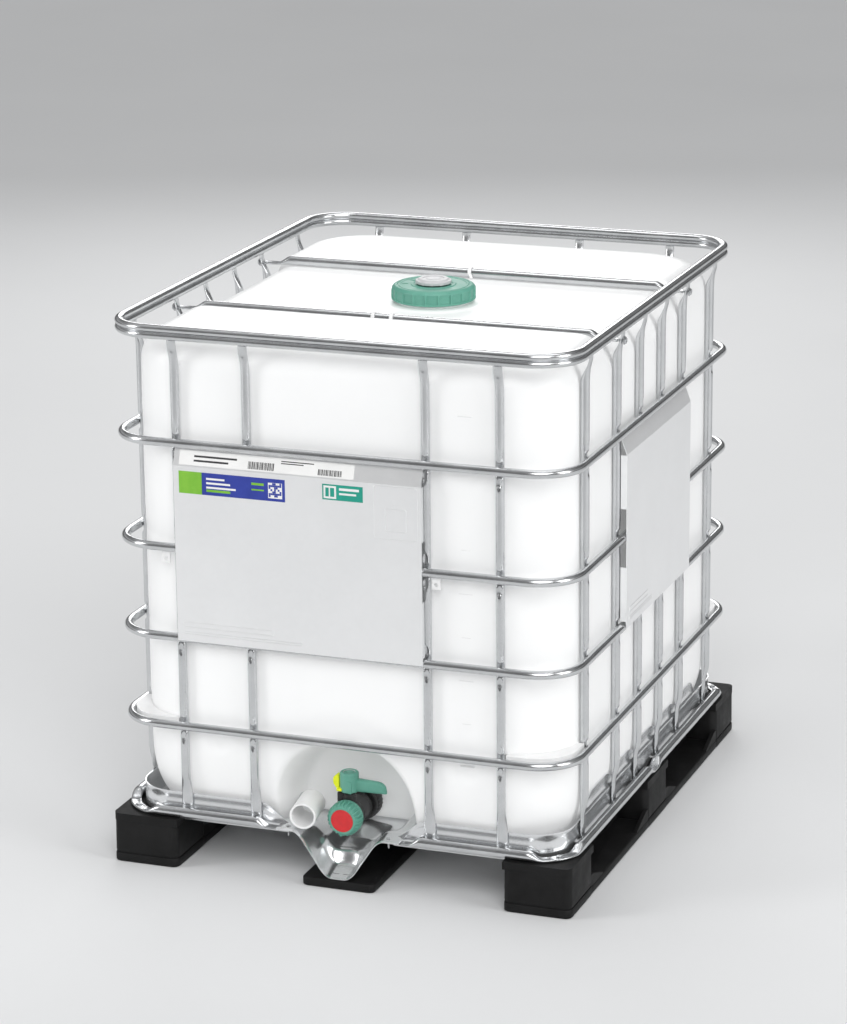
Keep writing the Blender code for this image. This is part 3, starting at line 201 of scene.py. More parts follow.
WHITE = surface("white_plastic_moulded", (0.84, 0.84, 0.84), (0.90, 0.90, 0.90), (0.32, 0.44), patch=30.0,
                grain=500.0, bump=0.0001, subsurface=0.1)
TEAL = surface("teal_plastic_moulded", (0.100, 0.32, 0.245), (0.130, 0.37, 0.285), (0.38, 0.52), patch=40.0,
               grain=700.0, bump=0.00012)
GREY = surface("grey_plastic_moulded", (0.52, 0.52, 0.53), (0.60, 0.60, 0.61), (0.36, 0.48), patch=40.0,
               grain=700.0, bump=0.0001)
BLACK = surface("black_plastic_moulded", (0.012, 0.012, 0.013), (0.025, 0.024, 0.024), (0.34, 0.5),
                patch=60.0, grain=800.0, bump=0.0002)
PALLET = surface("pallet_plastic_recycled", (0.004, 0.004, 0.004), (0.011, 0.011, 0.0113), (0.48, 0.66),
                 patch=22.0, grain=380.0, bump=0.0005, shine=0.22)
RED = surface("red_film", (0.56, 0.008, 0.012), (0.68, 0.014, 0.018), (0.28, 0.36), patch=60.0, grain=900.0,
              bump=0.00004, coat=0.3)
YELLOW = surface("yellow_plastic_moulded", (0.74, 0.82, 0.01), (0.86, 0.92, 0.02), (0.3, 0.42), patch=60.0,
                 grain=800.0, bump=0.0001)
RUBBER = surface("seal_rubber_moulded", (0.03, 0.03, 0.03), (0.06, 0.06, 0.06), (0.6, 0.8), patch=80.0,
                 grain=900.0, bump=0.0002)
PAPER = surface("label_paper", (0.84, 0.84, 0.83), (0.90, 0.90, 0.89), (0.45, 0.55), patch=20.0,
                grain=900.0, bump=0.00004)
INK = surface("label_ink", (0.02, 0.02, 0.022), (0.05, 0.05, 0.052), (0.4, 0.5), patch=60.0, grain=900.0,
              bump=0.00003)
BLUE_FILM = surface("label_blue", (0.020, 0.040, 0.30), (0.030, 0.055, 0.37), (0.35, 0.45), patch=30.0,
                    grain=900.0, bump=0.00003)
GREEN_FILM = surface("label_green", (0.17, 0.46, 0.03), (0.24, 0.55, 0.05), (0.35, 0.45), patch=30.0,
                     grain=900.0, bump=0.00003)
TEAL_FILM = surface("label_teal", (0.01, 0.30, 0.22), (0.015, 0.36, 0.27), (0.35, 0.45), patch=30.0,
                    grain=900.0, bump=0.00003)


# ---------------------------------------------------------------- tools

def smooth(value):
    value = min(1.0, max(0.0, value))
    return value * value * (3.0 - 2.0 * value)


def ramp(value, soft=0.15):
    """A straight ramp from 0 to 1 whose two ends are eased."""
    if value < -soft:
        return 0.0
    if value < soft:
        return (value + soft) ** 2 / (4.0 * soft)
    if value < 1.0 - soft:
        return value
    if value < 1.0 + soft:
        return 1.0 - (1.0 + soft - value) ** 2 / (4.0 * soft)
    return 1.0


def piece(name, bm, material, body=BASE, stands_for=(), angle=38.0):
    """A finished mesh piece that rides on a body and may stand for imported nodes."""
    obj = bpy.data.objects.new(name, finished(mesh_of(name, bm), material, angle))
    return dress(obj, body, stands_for)


def up(height):
    return Vector((0.0, 0.0, height))


def shift_by(x, y, z):
    return Matrix.Translation((x, y, z))


def link(obj):
    bpy.context.scene.collection.objects.link(obj)
    return obj


def mesh_of(name, bm):
    """The bmesh as a mesh, its normals outward."""
    bmesh.ops.recalc_face_normals(bm, faces=bm.faces)
    mesh = bpy.data.meshes.new(name)
    bm.to_mesh(mesh)
    bm.free()
    return mesh


def finished(mesh, material, angle):
    mesh.shade_smooth()
    mesh.set_sharp_from_angle(angle=math.radians(angle))
    mesh.materials.append(material)
    return mesh


def cut_away(obj, bm):
    """Subtract a closed mesh; the cutter is returned, to be removed after baking."""
    cutter = link(bpy.data.objects.new("cutter", mesh_of("cutter", bm)))
    cut = obj.modifiers.new("cut", 'BOOLEAN')
    cut.operation = 'DIFFERENCE'
    cut.solver = 'EXACT'
    cut.object = cutter
    return cutter


def baked(obj, cutter):
    mesh = bpy.data.meshes.new_from_object(obj.evaluated_get(bpy.context.evaluated_depsgraph_get()))
    bpy.data.objects.remove(cutter, do_unlink=True)
    return mesh


def dress(obj, body, stands_for):
    if not obj.users_collection:
        link(obj)
    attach(obj, body)
    if stands_for:
        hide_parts(*stands_for)
    return obj


def loft(sections, closed=False):
    bm = bmesh.new()
    rings = [[bm.verts.new(point) for point in section] for section in sections]
    count = len(rings)
    for index in range(count if closed else count - 1):
        near = rings[index]
        far = rings[(index + 1) % count]
        for side in range(len(near)):
            other = (side + 1) % len(near)
            bm.faces.new((near[side], near[other], far[other], far[side]))
    if not closed:
        bm.faces.new(rings[0])
        bm.faces.new(rings[-1])
    return bm


def lathe(profile, segments, hollow=False, wave=None):
    """Spin (radius, height) points round Z; a third number is the share of wave(angle) that is added."""
    bm = bmesh.new()
    rings = []
    for radius, height, *rib in profile:
        if radius == 0.0:
            rings.append([bm.verts.new((0.0, 0.0, height))])
            continue
        ring = []
        for index in range(segments):
            angle = 2.0 * math.pi * index / segments
            reach = radius + (rib[0] * wave(angle) if wave and rib else 0.0)
            ring.append(bm.verts.new((reach * math.cos(angle), reach * math.sin(angle), height)))
        rings.append(ring)
    count = len(rings)
    for index in range(count if hollow else count - 1):
        near = rings[index]
        far = rings[(index + 1) % count]
        for side in range(segments):
            other = (side + 1) % segments
            corners = [near[side % len(near)], near[other % len(near)],
                       far[other % len(far)], far[side % len(far)]]
            unique = list(dict.fromkeys(corners))
            if len(unique) > 2:
                bm.faces.new(unique)
    return bm


def rib_wave(count, depth, width=0.5, edge=0.12):
    """Ribs round a grip, with eased flanks."""
    def wave(angle):
        turn = (angle * count / (2.0 * math.pi)) % 1.0
        away = abs(turn - 0.5)
        return depth * smooth((width / 2.0 + edge / 2.0 - away) / edge)
    return wave


def block(low, high, bevel=0.0, segments=2):
    bm = bmesh.new()
    bmesh.ops.create_cube(bm, size=1.0)
    size = Vector(high) - Vector(low)
    bmesh.ops.scale(bm, vec=size, verts=bm.verts)
    bmesh.ops.translate(bm, vec=(Vector(high) + Vector(low)) / 2.0, verts=bm.verts)
    if bevel:
        bmesh.ops.bevel(bm, geom=bm.edges[:], offset=bevel, segments=segments, affect='EDGES', profile=0.5)
    return bm


def joined(*parts):
    """Several closed meshes in one."""
    whole = bmesh.new()
    for part in parts:
        scratch = bpy.data.meshes.new("scratch")
        part.to_mesh(scratch)
        part.free()
        whole.from_mesh(scratch)
        bpy.data.meshes.remove(scratch)
    return whole


def moved(bm, matrix):
    bmesh.ops.transform(bm, matrix=matrix, verts=bm.verts)
    return bm


def circle(half_out, half_up, sides):
    return [(half_out * math.cos(2.0 * math.pi * k / sides), half_up * math.sin(2.0 * math.pi * k / sides))
            for k in range(sides)]


def rounded_path(half_x, half_y, radius, steps, spacing=None):
    """Points and outward directions round a rectangle with round corners."""
    path = []
    for corner in range(4):
        sign_x = (1, -1, -1, 1)[corner]
        sign_y = (1, 1, -1, -1)[corner]
        for step in range(steps + 1):
            angle = math.pi / 2.0 * (corner + step / steps)
            out = Vector((math.cos(angle), math.sin(angle), 0.0))
            centre = Vector((sign_x * (half_x - radius), sign_y * (half_y - radius), 0.0))
            path.append((centre + radius * out, out))
    if spacing is None:
        return path
    dense = []
    for (near, out), (far, next_out) in zip(path, path[1:] + path[:1]):
        count = max(1, round((far - near).length / spacing))
        for step in range(count):
            share = step / count
            dense.append((near.lerp(far, share), out.lerp(next_out, share).normalized()))
    return dense


def sweep(path, level, section):
    return [[point + reach * out + up(level + rise) for reach, rise in section] for point, out in path]


def first_beside(path, x, y):
    """The path turned so that it starts at its point nearest to (x, y)."""
    start = min(range(len(path)), key=lambda k: abs(path[k][0].x - x) + abs(path[k][0].y - y))
    return path[start:] + path[:start]


AT_OUTLET = shift_by(0.0, 0.0, OUTLET_Z) @ Matrix.Rotation(math.radians(90.0), 4, 'X')


def flipped(profile):
    """The profile's points for a lathe whose axis runs towards -Y."""
    return [(radius, -y, *rib) for radius, y, *rib in profile]


# ---------------------------------------------------------------- cage

def make_rings():
    path = rounded_path(RING_HALF_X, RING_HALF_Y, RING_CORNER, 14, 0.05)
    for name, level in zip(RINGS, RING_LEVELS):
        bm = loft(sweep(path, level, circle(RING_RADIUS, RING_RADIUS, 24)), closed=True)
        piece(f"{name}_tube", bm, ZINC, stands_for=(name,))


def rim_section():
    outline = []
    for side, start, stop in ((-1, -90, 62), (1, -62, 90), (1, 90, 242), (-1, 118, 270)):
        for step in range(9):
            angle = math.radians(start + (stop - start) * step / 8)
            outline.append((RIM_OUT * math.cos(angle), side * RIM_BEAD_RISE + RIM_BEAD * math.sin(angle)))
    kept = []
    for point in outline:
        if not kept or (Vector(point) - Vector(kept[-1])).length > 0.0002:
            kept.append(point)
    if (Vector(kept[0]) - Vector(kept[-1])).length < 0.0002:
        kept.pop()
    return kept


def make_top_rim():
    path = rounded_path(RIM_HALF[0] - RIM_OUT, RIM_HALF[1] - RIM_OUT, RING_CORNER, 14, 0.05)
    bm = loft(sweep(path, RIM_LEVEL, rim_section()), closed=True)
    piece("cage_top_rim_tube", bm, ZINC, stands_for=("cage_top_rim",), angle=60.0)


def make_base_rim():
    """Round tube pressed flat over each foot and at both ends beside the trough."""
    half_x = BASE_RIM_HALF[0] - BASE_RIM_RADIUS
    half_y = BASE_RIM_HALF[1] - BASE_RIM_RADIUS
    loop = rounded_path(half_x, half_y, RING_CORNER, 16, 0.006)
    front = [(point, out) for point, out in loop if not (point.y < -half_y + 0.0005 and
                                                         BASE_RIM_ENDS[1] < point.x < BASE_RIM_ENDS[0])]
    run = first_beside(front, BASE_RIM_ENDS[0], -half_y)
    reach = RING_CORNER * (1.0 - math.sqrt(0.5))
    flats = [(Vector((BASE_RIM_ENDS[0], -half_y, 0.0)), 0.030),
             (Vector((BASE_RIM_ENDS[1], -half_y, 0.0)), 0.030)]
    for sign_x in (-1, 1):
        flats.append((Vector((sign_x * half_x, 0.0, 0.0)), 0.012))
        for sign_y in (-1, 1):
            flats.append((Vector((sign_x * (half_x - reach), sign_y * (half_y - reach), 0.0)), 0.036))
    sections = []
    for point, out in run:
        share = max(smooth((size - (point - flat).length) / FLAT_EASE + 1.0) for flat, size in flats)
        half_up = BASE_RIM_RADIUS + share * (BASE_RIM_FLAT - BASE_RIM_RADIUS)
        level = BASE_RIM_BOTTOM + half_up
        section = []
        for a, b in circle(1.0, 1.0, 28):
            power = 1.0 - 0.45 * share
            flat_a = math.copysign(abs(a) ** power, a)
            flat_b = math.copysign(abs(b) ** power, b)
            dish = DISH_DEPTH * share * math.exp(-(a / 0.45) ** 2) if b > 0 else 0.0
            section.append(point + out * flat_a * BASE_RIM_RADIUS + up(level + flat_b * half_up - dish))
        sections.append(section)
    piece("cage_base_rim_tube", loft(sections), ZINC, stands_for=("cage_base_rim",))
    seat = BASE_RIM_BOTTOM + 2.0 * BASE_RIM_FLAT - DISH_DEPTH
    heads = [moved(screw_head(), Matrix.Translation(spot + up(seat))) for spot, size in flats[2:]]
    piece("base_rim_screws", joined(*heads), ZINC_SCREW)


def screw_head(radius=0.0062, height=0.0036):
    """A hexagon head with a washer flange, standing on z = 0."""
    flange = lathe([(0.0, 0.0), (radius * 1.25, 0.0), (radius * 1.25, 0.0008),
                    (radius * 1.05, 0.0013), (0.0, 0.0013)], 32)
    hexagon = lathe([(0.0, 0.001), (radius, 0.001), (radius, height - 0.0008),
                     (radius * 0.86, height), (radius * 0.45, height), (radius * 0.3, height - 0.001),
                     (0.0, height - 0.001)], 6)
    return joined(flange, hexagon)


def post_levels():
    levels = {POST_LOW, POST_HIGH}
    step = 0.0
    while POST_LOW + step < POST_HIGH:
        level = POST_LOW + step
        levels.add(level)
        near = min(abs(level - ring) for ring in RING_LEVELS)
        if near < DENT_REACH or level < PAN_TOP + 0.05 or level > POST_HIGH - 0.06:
            step += 0.0025
        else:
            step += 0.012
    kept = []
    for level in sorted(levels):
        if not kept or level - kept[-1] > 0.0008:
            kept.append(level)
    return kept


def post_mesh():
    """One upright: pressed foot with its hole, teardrop dents at the rings, pressed and bent top."""
    sides = 28
    sections = []
    for level in post_levels():
        foot = smooth((PAN_TOP + 0.050 - level) / 0.048)
        top = smooth((level - (POST_HIGH - 0.052)) / 0.036)
        width = POST_RADIUS + foot * 0.003 + top * 0.0008
        thick = POST_RADIUS - (foot + top) * POST_PRESSED
        shift = foot * POST_FOOT_SHIFT + smooth((level - (POST_HIGH - 0.055)) / 0.055) * POST_TOP_SHIFT
        away = min(abs(level - ring) for ring in RING_LEVELS)
        flat = POST_DENTED + (POST_RADIUS - POST_DENTED) * smooth((away - 0.010) / 0.012)
        drop = 0.0042 * smooth((away - 0.013) / 0.008) * smooth((0.046 - away) / 0.020)
        narrow = 0.0054 * math.sqrt(max(0.0, min(1.0, (0.045 - away) / 0.020)))
        section = []
        for side in range(sides):
            angle = 2.0 * math.pi * side / sides
            across = math.cos(angle)
            depth = math.sin(angle)
            x = width * across
            y = thick * depth
            if depth >= 0.0:
                if away < DENT_REACH and not foot and not top:
                    y = min(y, flat * depth ** 0.6)
                    if abs(x) < narrow:
                        y -= drop * (1.0 - (x / narrow) ** 2) ** 0.7
                hole = math.hypot(x / 0.0034, (level - POST_LOW - 0.010) / 0.0034)
                y -= 0.0016 * smooth((1.25 - hole) / 0.45) * foot
                press = math.hypot(x / 0.0052, (level - POST_HIGH + 0.014) / 0.0105)
                y -= 0.0016 * smooth((1.15 - press) / 0.3) * top
            section.append(Vector((x, -(y + shift), level)))
        sections.append(section)
    return finished(mesh_of("post_tube", loft(sections)), ZINC, 50.0)


def make_posts():
    mesh = post_mesh()
    turns = {"front": 0.0, "right": 90.0, "back": 180.0, "left": 270.0}
    for name in sorted(NODES):
        if not name.startswith("cage_post_"):
            continue
        side = name.split("_")[2]
        x, y = node_middle(name)[:2]
        if side in ("front", "back"):
            y = (RING_HALF_Y - POST_INSET) * (-1 if side == "front" else 1)
        else:
            x = (RING_HALF_X - POST_INSET) * (-1 if side == "left" else 1)
        obj = bpy.data.objects.new(f"{name}_tube", mesh)
        obj.matrix_world = shift_by(x, y, 0.0) @ Matrix.Rotation(math.radians(turns[side]), 4, 'Z')
        dress(obj, BASE, (name,))


def make_crossbars():
    """Round bars that taper to flat ends, with the small white hooks that ride on them."""
    for end in ("front", "rear"):
        low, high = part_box(f"crossbar_{end}")
        middle = (low[1] + high[1]) / 2.0
        level = high[2] - CROSSBAR_RADIUS
        tip = high[0]
        tip_level = node_middle(f"crossbar_bolt_{end}_right")[2]
        sections = []
        stations = 44
        marks = [-tip + 0.075 * k / stations for k in range(stations + 1)]
        marks += [-mark for mark in reversed(marks)]
        for along in marks:
            share = smooth((abs(along) - (tip - 0.062)) / 0.034)
            half_y = CROSSBAR_RADIUS + 0.0022 * share
            half_z = CROSSBAR_RADIUS + share * (0.003 - CROSSBAR_RADIUS)
            height = level + share * (tip_level - level)
            outline = circle(half_y, half_z, 26)
            sections.append([Vector((along, middle + a, height + b)) for a, b in outline])
        piece(f"crossbar_{end}_tube", loft(sections), ZINC,
              stands_for=(f"crossbar_{end}",))
        for side, sign in (("left", -1.0), ("right", 1.0)):
            box_low, box_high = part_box(f"crossbar_bolt_{end}_{side}")
            outer = box_high[0] if sign > 0 else box_low[0]
            turn = Matrix.Rotation(sign * math.pi / 2.0, 4, 'Y')
            shank = lathe([(0.0, -0.020), (0.003, -0.020), (0.003, 0.001), (0.0, 0.001)], 20)
            place = shift_by(outer - sign * 0.005, middle, tip_level)
            bolt = moved(joined(screw_head(0.0072, 0.0048), shank), place @ turn)
            piece(f"crossbar_bolt_{end}_{side}_head", bolt, ZINC_SCREW,
                  stands_for=(f"crossbar_bolt_{end}_{side}",))
    hooks = []
    for x, y in ((0.001, 0.2305), (-0.045, -0.2305), (-0.005, -0.2305)):
        sections = []
        for step in range(15):
            angle = math.radians(-30.0 + 215.0 * step / 14)
            out = Vector((0.0, math.cos(angle), math.sin(angle)))
            centre = Vector((x, y, CROSSBAR_LEVEL)) + out * 0.0118
            outline = circle(0.0038, 0.0012, 12)
            sections.append([centre + Vector((a, 0.0, 0.0)) + out * b for a, b in outline])
        hooks.append(loft(sections))
        sections = []
        for step in range(9):
            share = step / 8
            along = -0.010 + 0.030 * share if y < 0 else -0.011 - 0.004 * share
            rise = 0.006 * math.sin(math.pi * share) if y < 0 else -0.010 * share
            centre = Vector((x + 0.006 * share, y + along, CROSSBAR_LEVEL + 0.003 + rise))
            sections.append([centre + Vector((a, 0.0, b)) for a, b in circle(0.0034, 0.0022, 12)])
        hooks.append(loft(sections))
    piece("crossbar_hooks", joined(*hooks), WHITE)


# ---------------------------------------------------------------- bottle

FRONT_LINES = [node_middle(f"cage_post_front_{n}")[0] for n in range(1, 5)]
BACK_LINES = [node_middle(f"cage_post_back_{n}")[0] for n in range(1, 5)]
SIDE_LINES = [node_middle(f"cage_post_right_{n}")[1] for n in range(1, 7)]


def bottle_sections():
    """Level sections of the plain outside: foot curve, straight walls, rounded shoulders."""
    bottom = BOTTLE_LOW[2]
    wall_low = bottom + HEEL_RISE
    levels = []
    for step in range(13):
        angle = math.pi / 2.0 * step / 12
        levels.append((bottom + HEEL_RISE * (1.0 - math.cos(angle)), HEEL_PULL * (1.0 - math.sin(angle))))
    for step in range(1, 12):
        levels.append((wall_low + (SHOULDER_LEVEL - SHOULDER - wall_low) * step / 12, 0.0))
    for step in range(13):
        angle = math.pi / 2.0 * step / 12
        levels.append((SHOULDER_LEVEL - SHOULDER * (1.0 - math.sin(angle)),
                       SHOULDER * (1.0 - math.cos(angle))))
    sections = []
    for level, pull in levels:
        radius = max(0.130 - 0.4 * pull, 0.05)
        path = rounded_path(BOTTLE_HALF_X - pull, BOTTLE_HALF_Y - pull, radius, 14)
        sections.append([point + up(level) for point, out in path])
    return sections


def alcove_cutter():
    """Arched pocket round the outlet: steep mouth, then a cone to its back."""
    sections = []
    for y, half, top in ((-0.62, 0.166, 0.318), (-0.556, 0.152, 0.304), (-0.520, 0.146, 0.298),
                         (-0.4288, 0.128, 0.280)):
        outline = [Vector((half, y, 0.05))]
        for step in range(25):
            angle = math.pi * step / 24
            outline.append(Vector((half * math.cos(angle), y, top - half + half * math.sin(angle))))
        outline.append(Vector((-half, y, 0.05)))
        sections.append(outline)
    return loft(sections)


def nearest(value, lines):
    return min(abs(value - line) for line in lines)


def shape_bottle(co, normal):
    """Saddle, soft bulges between the tubes, and the shallow marks of the mould."""
    x, y, z = co
    move = Vector((0.0, 0.0, 0.0))
    if z > 1.02:
        lowered = (SHOULDER_LEVEL - SADDLE_LEVEL) * smooth((0.266 - abs(y)) / 0.020)
        lowered *= smooth((z - 1.02) / 0.06)
        groove = 0.0022 * smooth((0.007 - abs(y + 0.015 - 0.02 * x)) / 0.004)
        groove *= smooth((0.085 - abs(abs(x) - 0.31)) / 0.02)
        rim = 0.0030 * smooth((0.012 - abs(math.hypot(x, y) - 0.108)) / 0.010)
        move.z -= lowered + (groove - rim) * smooth((z - 1.09) / 0.02)
    if 0.19 < z < 1.09:
        between_rings = 1.0 - 0.55 * math.exp(-(nearest(z, RING_LEVELS) / 0.022) ** 2)
        rise = smooth((z - 0.19) / 0.10) * smooth((1.09 - z) / 0.10)
        if abs(normal.y) > 0.75:
            lines = FRONT_LINES if y < 0.0 else BACK_LINES
            edge = smooth((0.40 - abs(x)) / 0.06)
            between_posts = 1.0 - math.exp(-(nearest(x, lines) / 0.030) ** 2)
            swell = SWELL * between_posts * between_rings * rise * edge
            if y < 0.0:
                swell *= smooth((math.hypot(x, max(0.0, z - 0.16)) - 0.165) / 0.05)
                for spot in (-0.268, 0.268):
                    swell -= 0.0040 * smooth((0.030 - math.hypot(x - spot, z - 0.272)) / 0.022)
            move += normal * swell
        elif abs(normal.x) > 0.75:
            edge = smooth((0.50 - abs(y)) / 0.06)
            between_posts = 1.0 - math.exp(-(nearest(y, SIDE_LINES) / 0.024) ** 2)
            move += normal * SWELL * between_posts * between_rings * rise * edge
    move += normal * 0.0006 * noise.noise(Vector(co) * 7.0)
    return move


def make_bottle():
    solid = mesh_of("bottle_solid", loft(bottle_sections()))
    bottle = link(bpy.data.objects.new("inner_bottle_skin", solid))
    cutter = cut_away(bottle, alcove_cutter())
    voxel = bottle.modifiers.new("voxels", 'REMESH')
    voxel.mode = 'VOXEL'
    voxel.voxel_size = 0.0065
    voxel.use_smooth_shade = True
    even = bottle.modifiers.new("even", 'SMOOTH')
    even.factor = 0.5
    even.iterations = 14
    skin = baked(bottle, cutter)
    bottle.modifiers.clear()
    bottle.data = skin
    bm = bmesh.new()
    bm.from_mesh(skin)
    bm.normal_update()
    moves = [shape_bottle(vert.co, vert.normal) for vert in bm.verts]
    for vert, move in zip(bm.verts, moves):
        vert.co += move
    holes = []
    for face in bm.faces:
        middle = face.calc_center_median()
        over_neck = middle.z > 1.06 and math.hypot(middle.x, middle.y) < 0.060
        at_outlet = -0.50 < middle.y < -0.40 and math.hypot(middle.x, middle.z - OUTLET_Z) < 0.0215
        if over_neck or at_outlet:
            holes.append(face)
    bmesh.ops.delete(bm, geom=holes, context='FACES')
    bm.to_mesh(skin)
    bm.free()
    skin.shade_smooth()
    skin.materials.clear()
    skin.materials.append(BOTTLE)
    wall = bottle.modifiers.new("wall", 'SOLIDIFY')
    wall.thickness = 0.004
    wall.offset = -1.0
    dress(bottle, BASE, ("inner_bottle",))
    turns = [(0.0585, 1.088), (0.0740, 1.088), (0.0740, 1.096), (0.0760, 1.0975), (0.0760, 1.0995),
             (0.0740, 1.101)]
    for step in range(3):
        start = 1.1055 + 0.0062 * step
        turns += [(0.0722, start), (0.0740, start + 0.0014), (0.0740, start + 0.0026),
                  (0.0722, start + 0.0040)]
    turns += [(0.0722, NECK_TOP - 0.0008), (0.0714, NECK_TOP), (0.0668, NECK_TOP),
              (0.0660, NECK_TOP - 0.0008), (0.0660, 1.092), (0.0585, 1.090)]
    neck = lathe(turns, 96, hollow=True)
    piece("filling_neck", neck, BOTTLE)
    pipe = flipped([(0.0205, -0.4235), (0.0240, -0.4205), (0.0240, -0.4505), (0.0290, -0.4505),
                    (0.0290, -0.4330), (0.0330, -0.4296), (0.0330, -0.4262)])
    piece("outlet_neck", moved(lathe(pipe, 64, hollow=True), AT_OUTLET), BOTTLE)
    ticks = []
    for step in range(9):
        level = 0.285 + step * 0.0905
        if nearest(level, RING_LEVELS) < 0.016:
            continue
        long = 0.020 if step % 2 else 0.030
        surface_y = -BOTTLE_HALF_Y - 0.0046
        ticks.append(block((0.270 - long / 2.0, surface_y - 0.0006, level - 0.0012),
                           (0.270 + long / 2.0, surface_y + 0.004, level + 0.0012), 0.0005, 1))
    piece("volume_marks", joined(*ticks), WHITE)


def make_filling_cap():
    low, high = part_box("filling_cap")
    top = high[2]
    bottom = low[2]
    inner = 0.0755
    grip = rib_wave(20, 0.0034, 0.15, 0.06)
    profile = [(0.0275, top - 0.006), (inner - 0.002, top - 0.006), (inner, top - 0.008), (inner, bottom),
               (0.0878, bottom), (0.0888, bottom + 0.001), (0.0888, bottom + 0.0030),
               (0.0878, bottom + 0.0040, 0.2),
               (0.0862, bottom + 0.0048, 1), (0.0862, top - 0.0115, 1), (0.0868, top - 0.0092, 0.75),
               (0.0876, top - 0.0072, 0.2), (0.0872, top - 0.0058), (0.0850, top - 0.0030),
               (0.0815, top - 0.0008), (0.0790, top), (0.0770, top - 0.0003), (0.0762, top - 0.0014),
               (0.0745, top - 0.0014), (0.0738, top - 0.0004),
               (0.0700, top - 0.0004), (0.0690, top - 0.0012), (0.0480, top - 0.0012),
               (0.0465, top), (0.0420, top), (0.0410, top - 0.0008), (0.0275, top - 0.0008)]
    piece("filling_cap_shell", lathe(profile, 360, hollow=True, wave=grip), TEAL,
          "filling_cap", ("filling_cap",), angle=32.0)
    arrow = []
    for degrees in (158.0, 192.0):
        turn = Matrix.Rotation(math.radians(degrees), 4, 'Z')
        outline = [(0.054, -0.0030), (0.062, -0.0030), (0.062, -0.0065), (0.0675, 0.0), (0.062, 0.0065),
                   (0.062, 0.0030), (0.054, 0.0030)]
        ends = [[turn @ Vector((x, y, z)) for x, y in outline] for z in (top - 0.0014, top - 0.0002)]
        arrow.append(loft(ends))
    piece("filling_cap_marks", joined(*arrow), TEAL, "filling_cap")

    low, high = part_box("vent_plug")
    seat = high[2] - 0.010
    crown = high[2]
    notch = rib_wave(12, -0.0010, 0.30, 0.10)
    profile = [(0.0, low[2]), (0.0265, low[2]), (0.0270, low[2] + 0.0005)]
    for step in range(4):
        start = low[2] + 0.002 + 0.0036 * step
        profile += [(0.0258, start), (0.0270, start + 0.0009), (0.0270, start + 0.0017),
                    (0.0258, start + 0.0026)]
    profile += [(0.0262, seat), (0.0372, seat), (0.0380, seat + 0.0008, 1), (0.0380, seat + 0.0052, 1),
                (0.0370, seat + 0.0064, 0.5), (0.0335, seat + 0.0072), (0.0322, seat + 0.0086),
                (0.0300, crown), (0.0230, crown), (0.0218, crown - 0.0016), (0.0150, crown - 0.0016),
                (0.0140, crown - 0.0006), (0.0, crown - 0.0006)]
    piece("vent_plug_shell", lathe(profile, 192, wave=notch), GREY, "vent_plug",
          ("vent_plug",), angle=32.0)


# ---------------------------------------------------------------- outlet valve

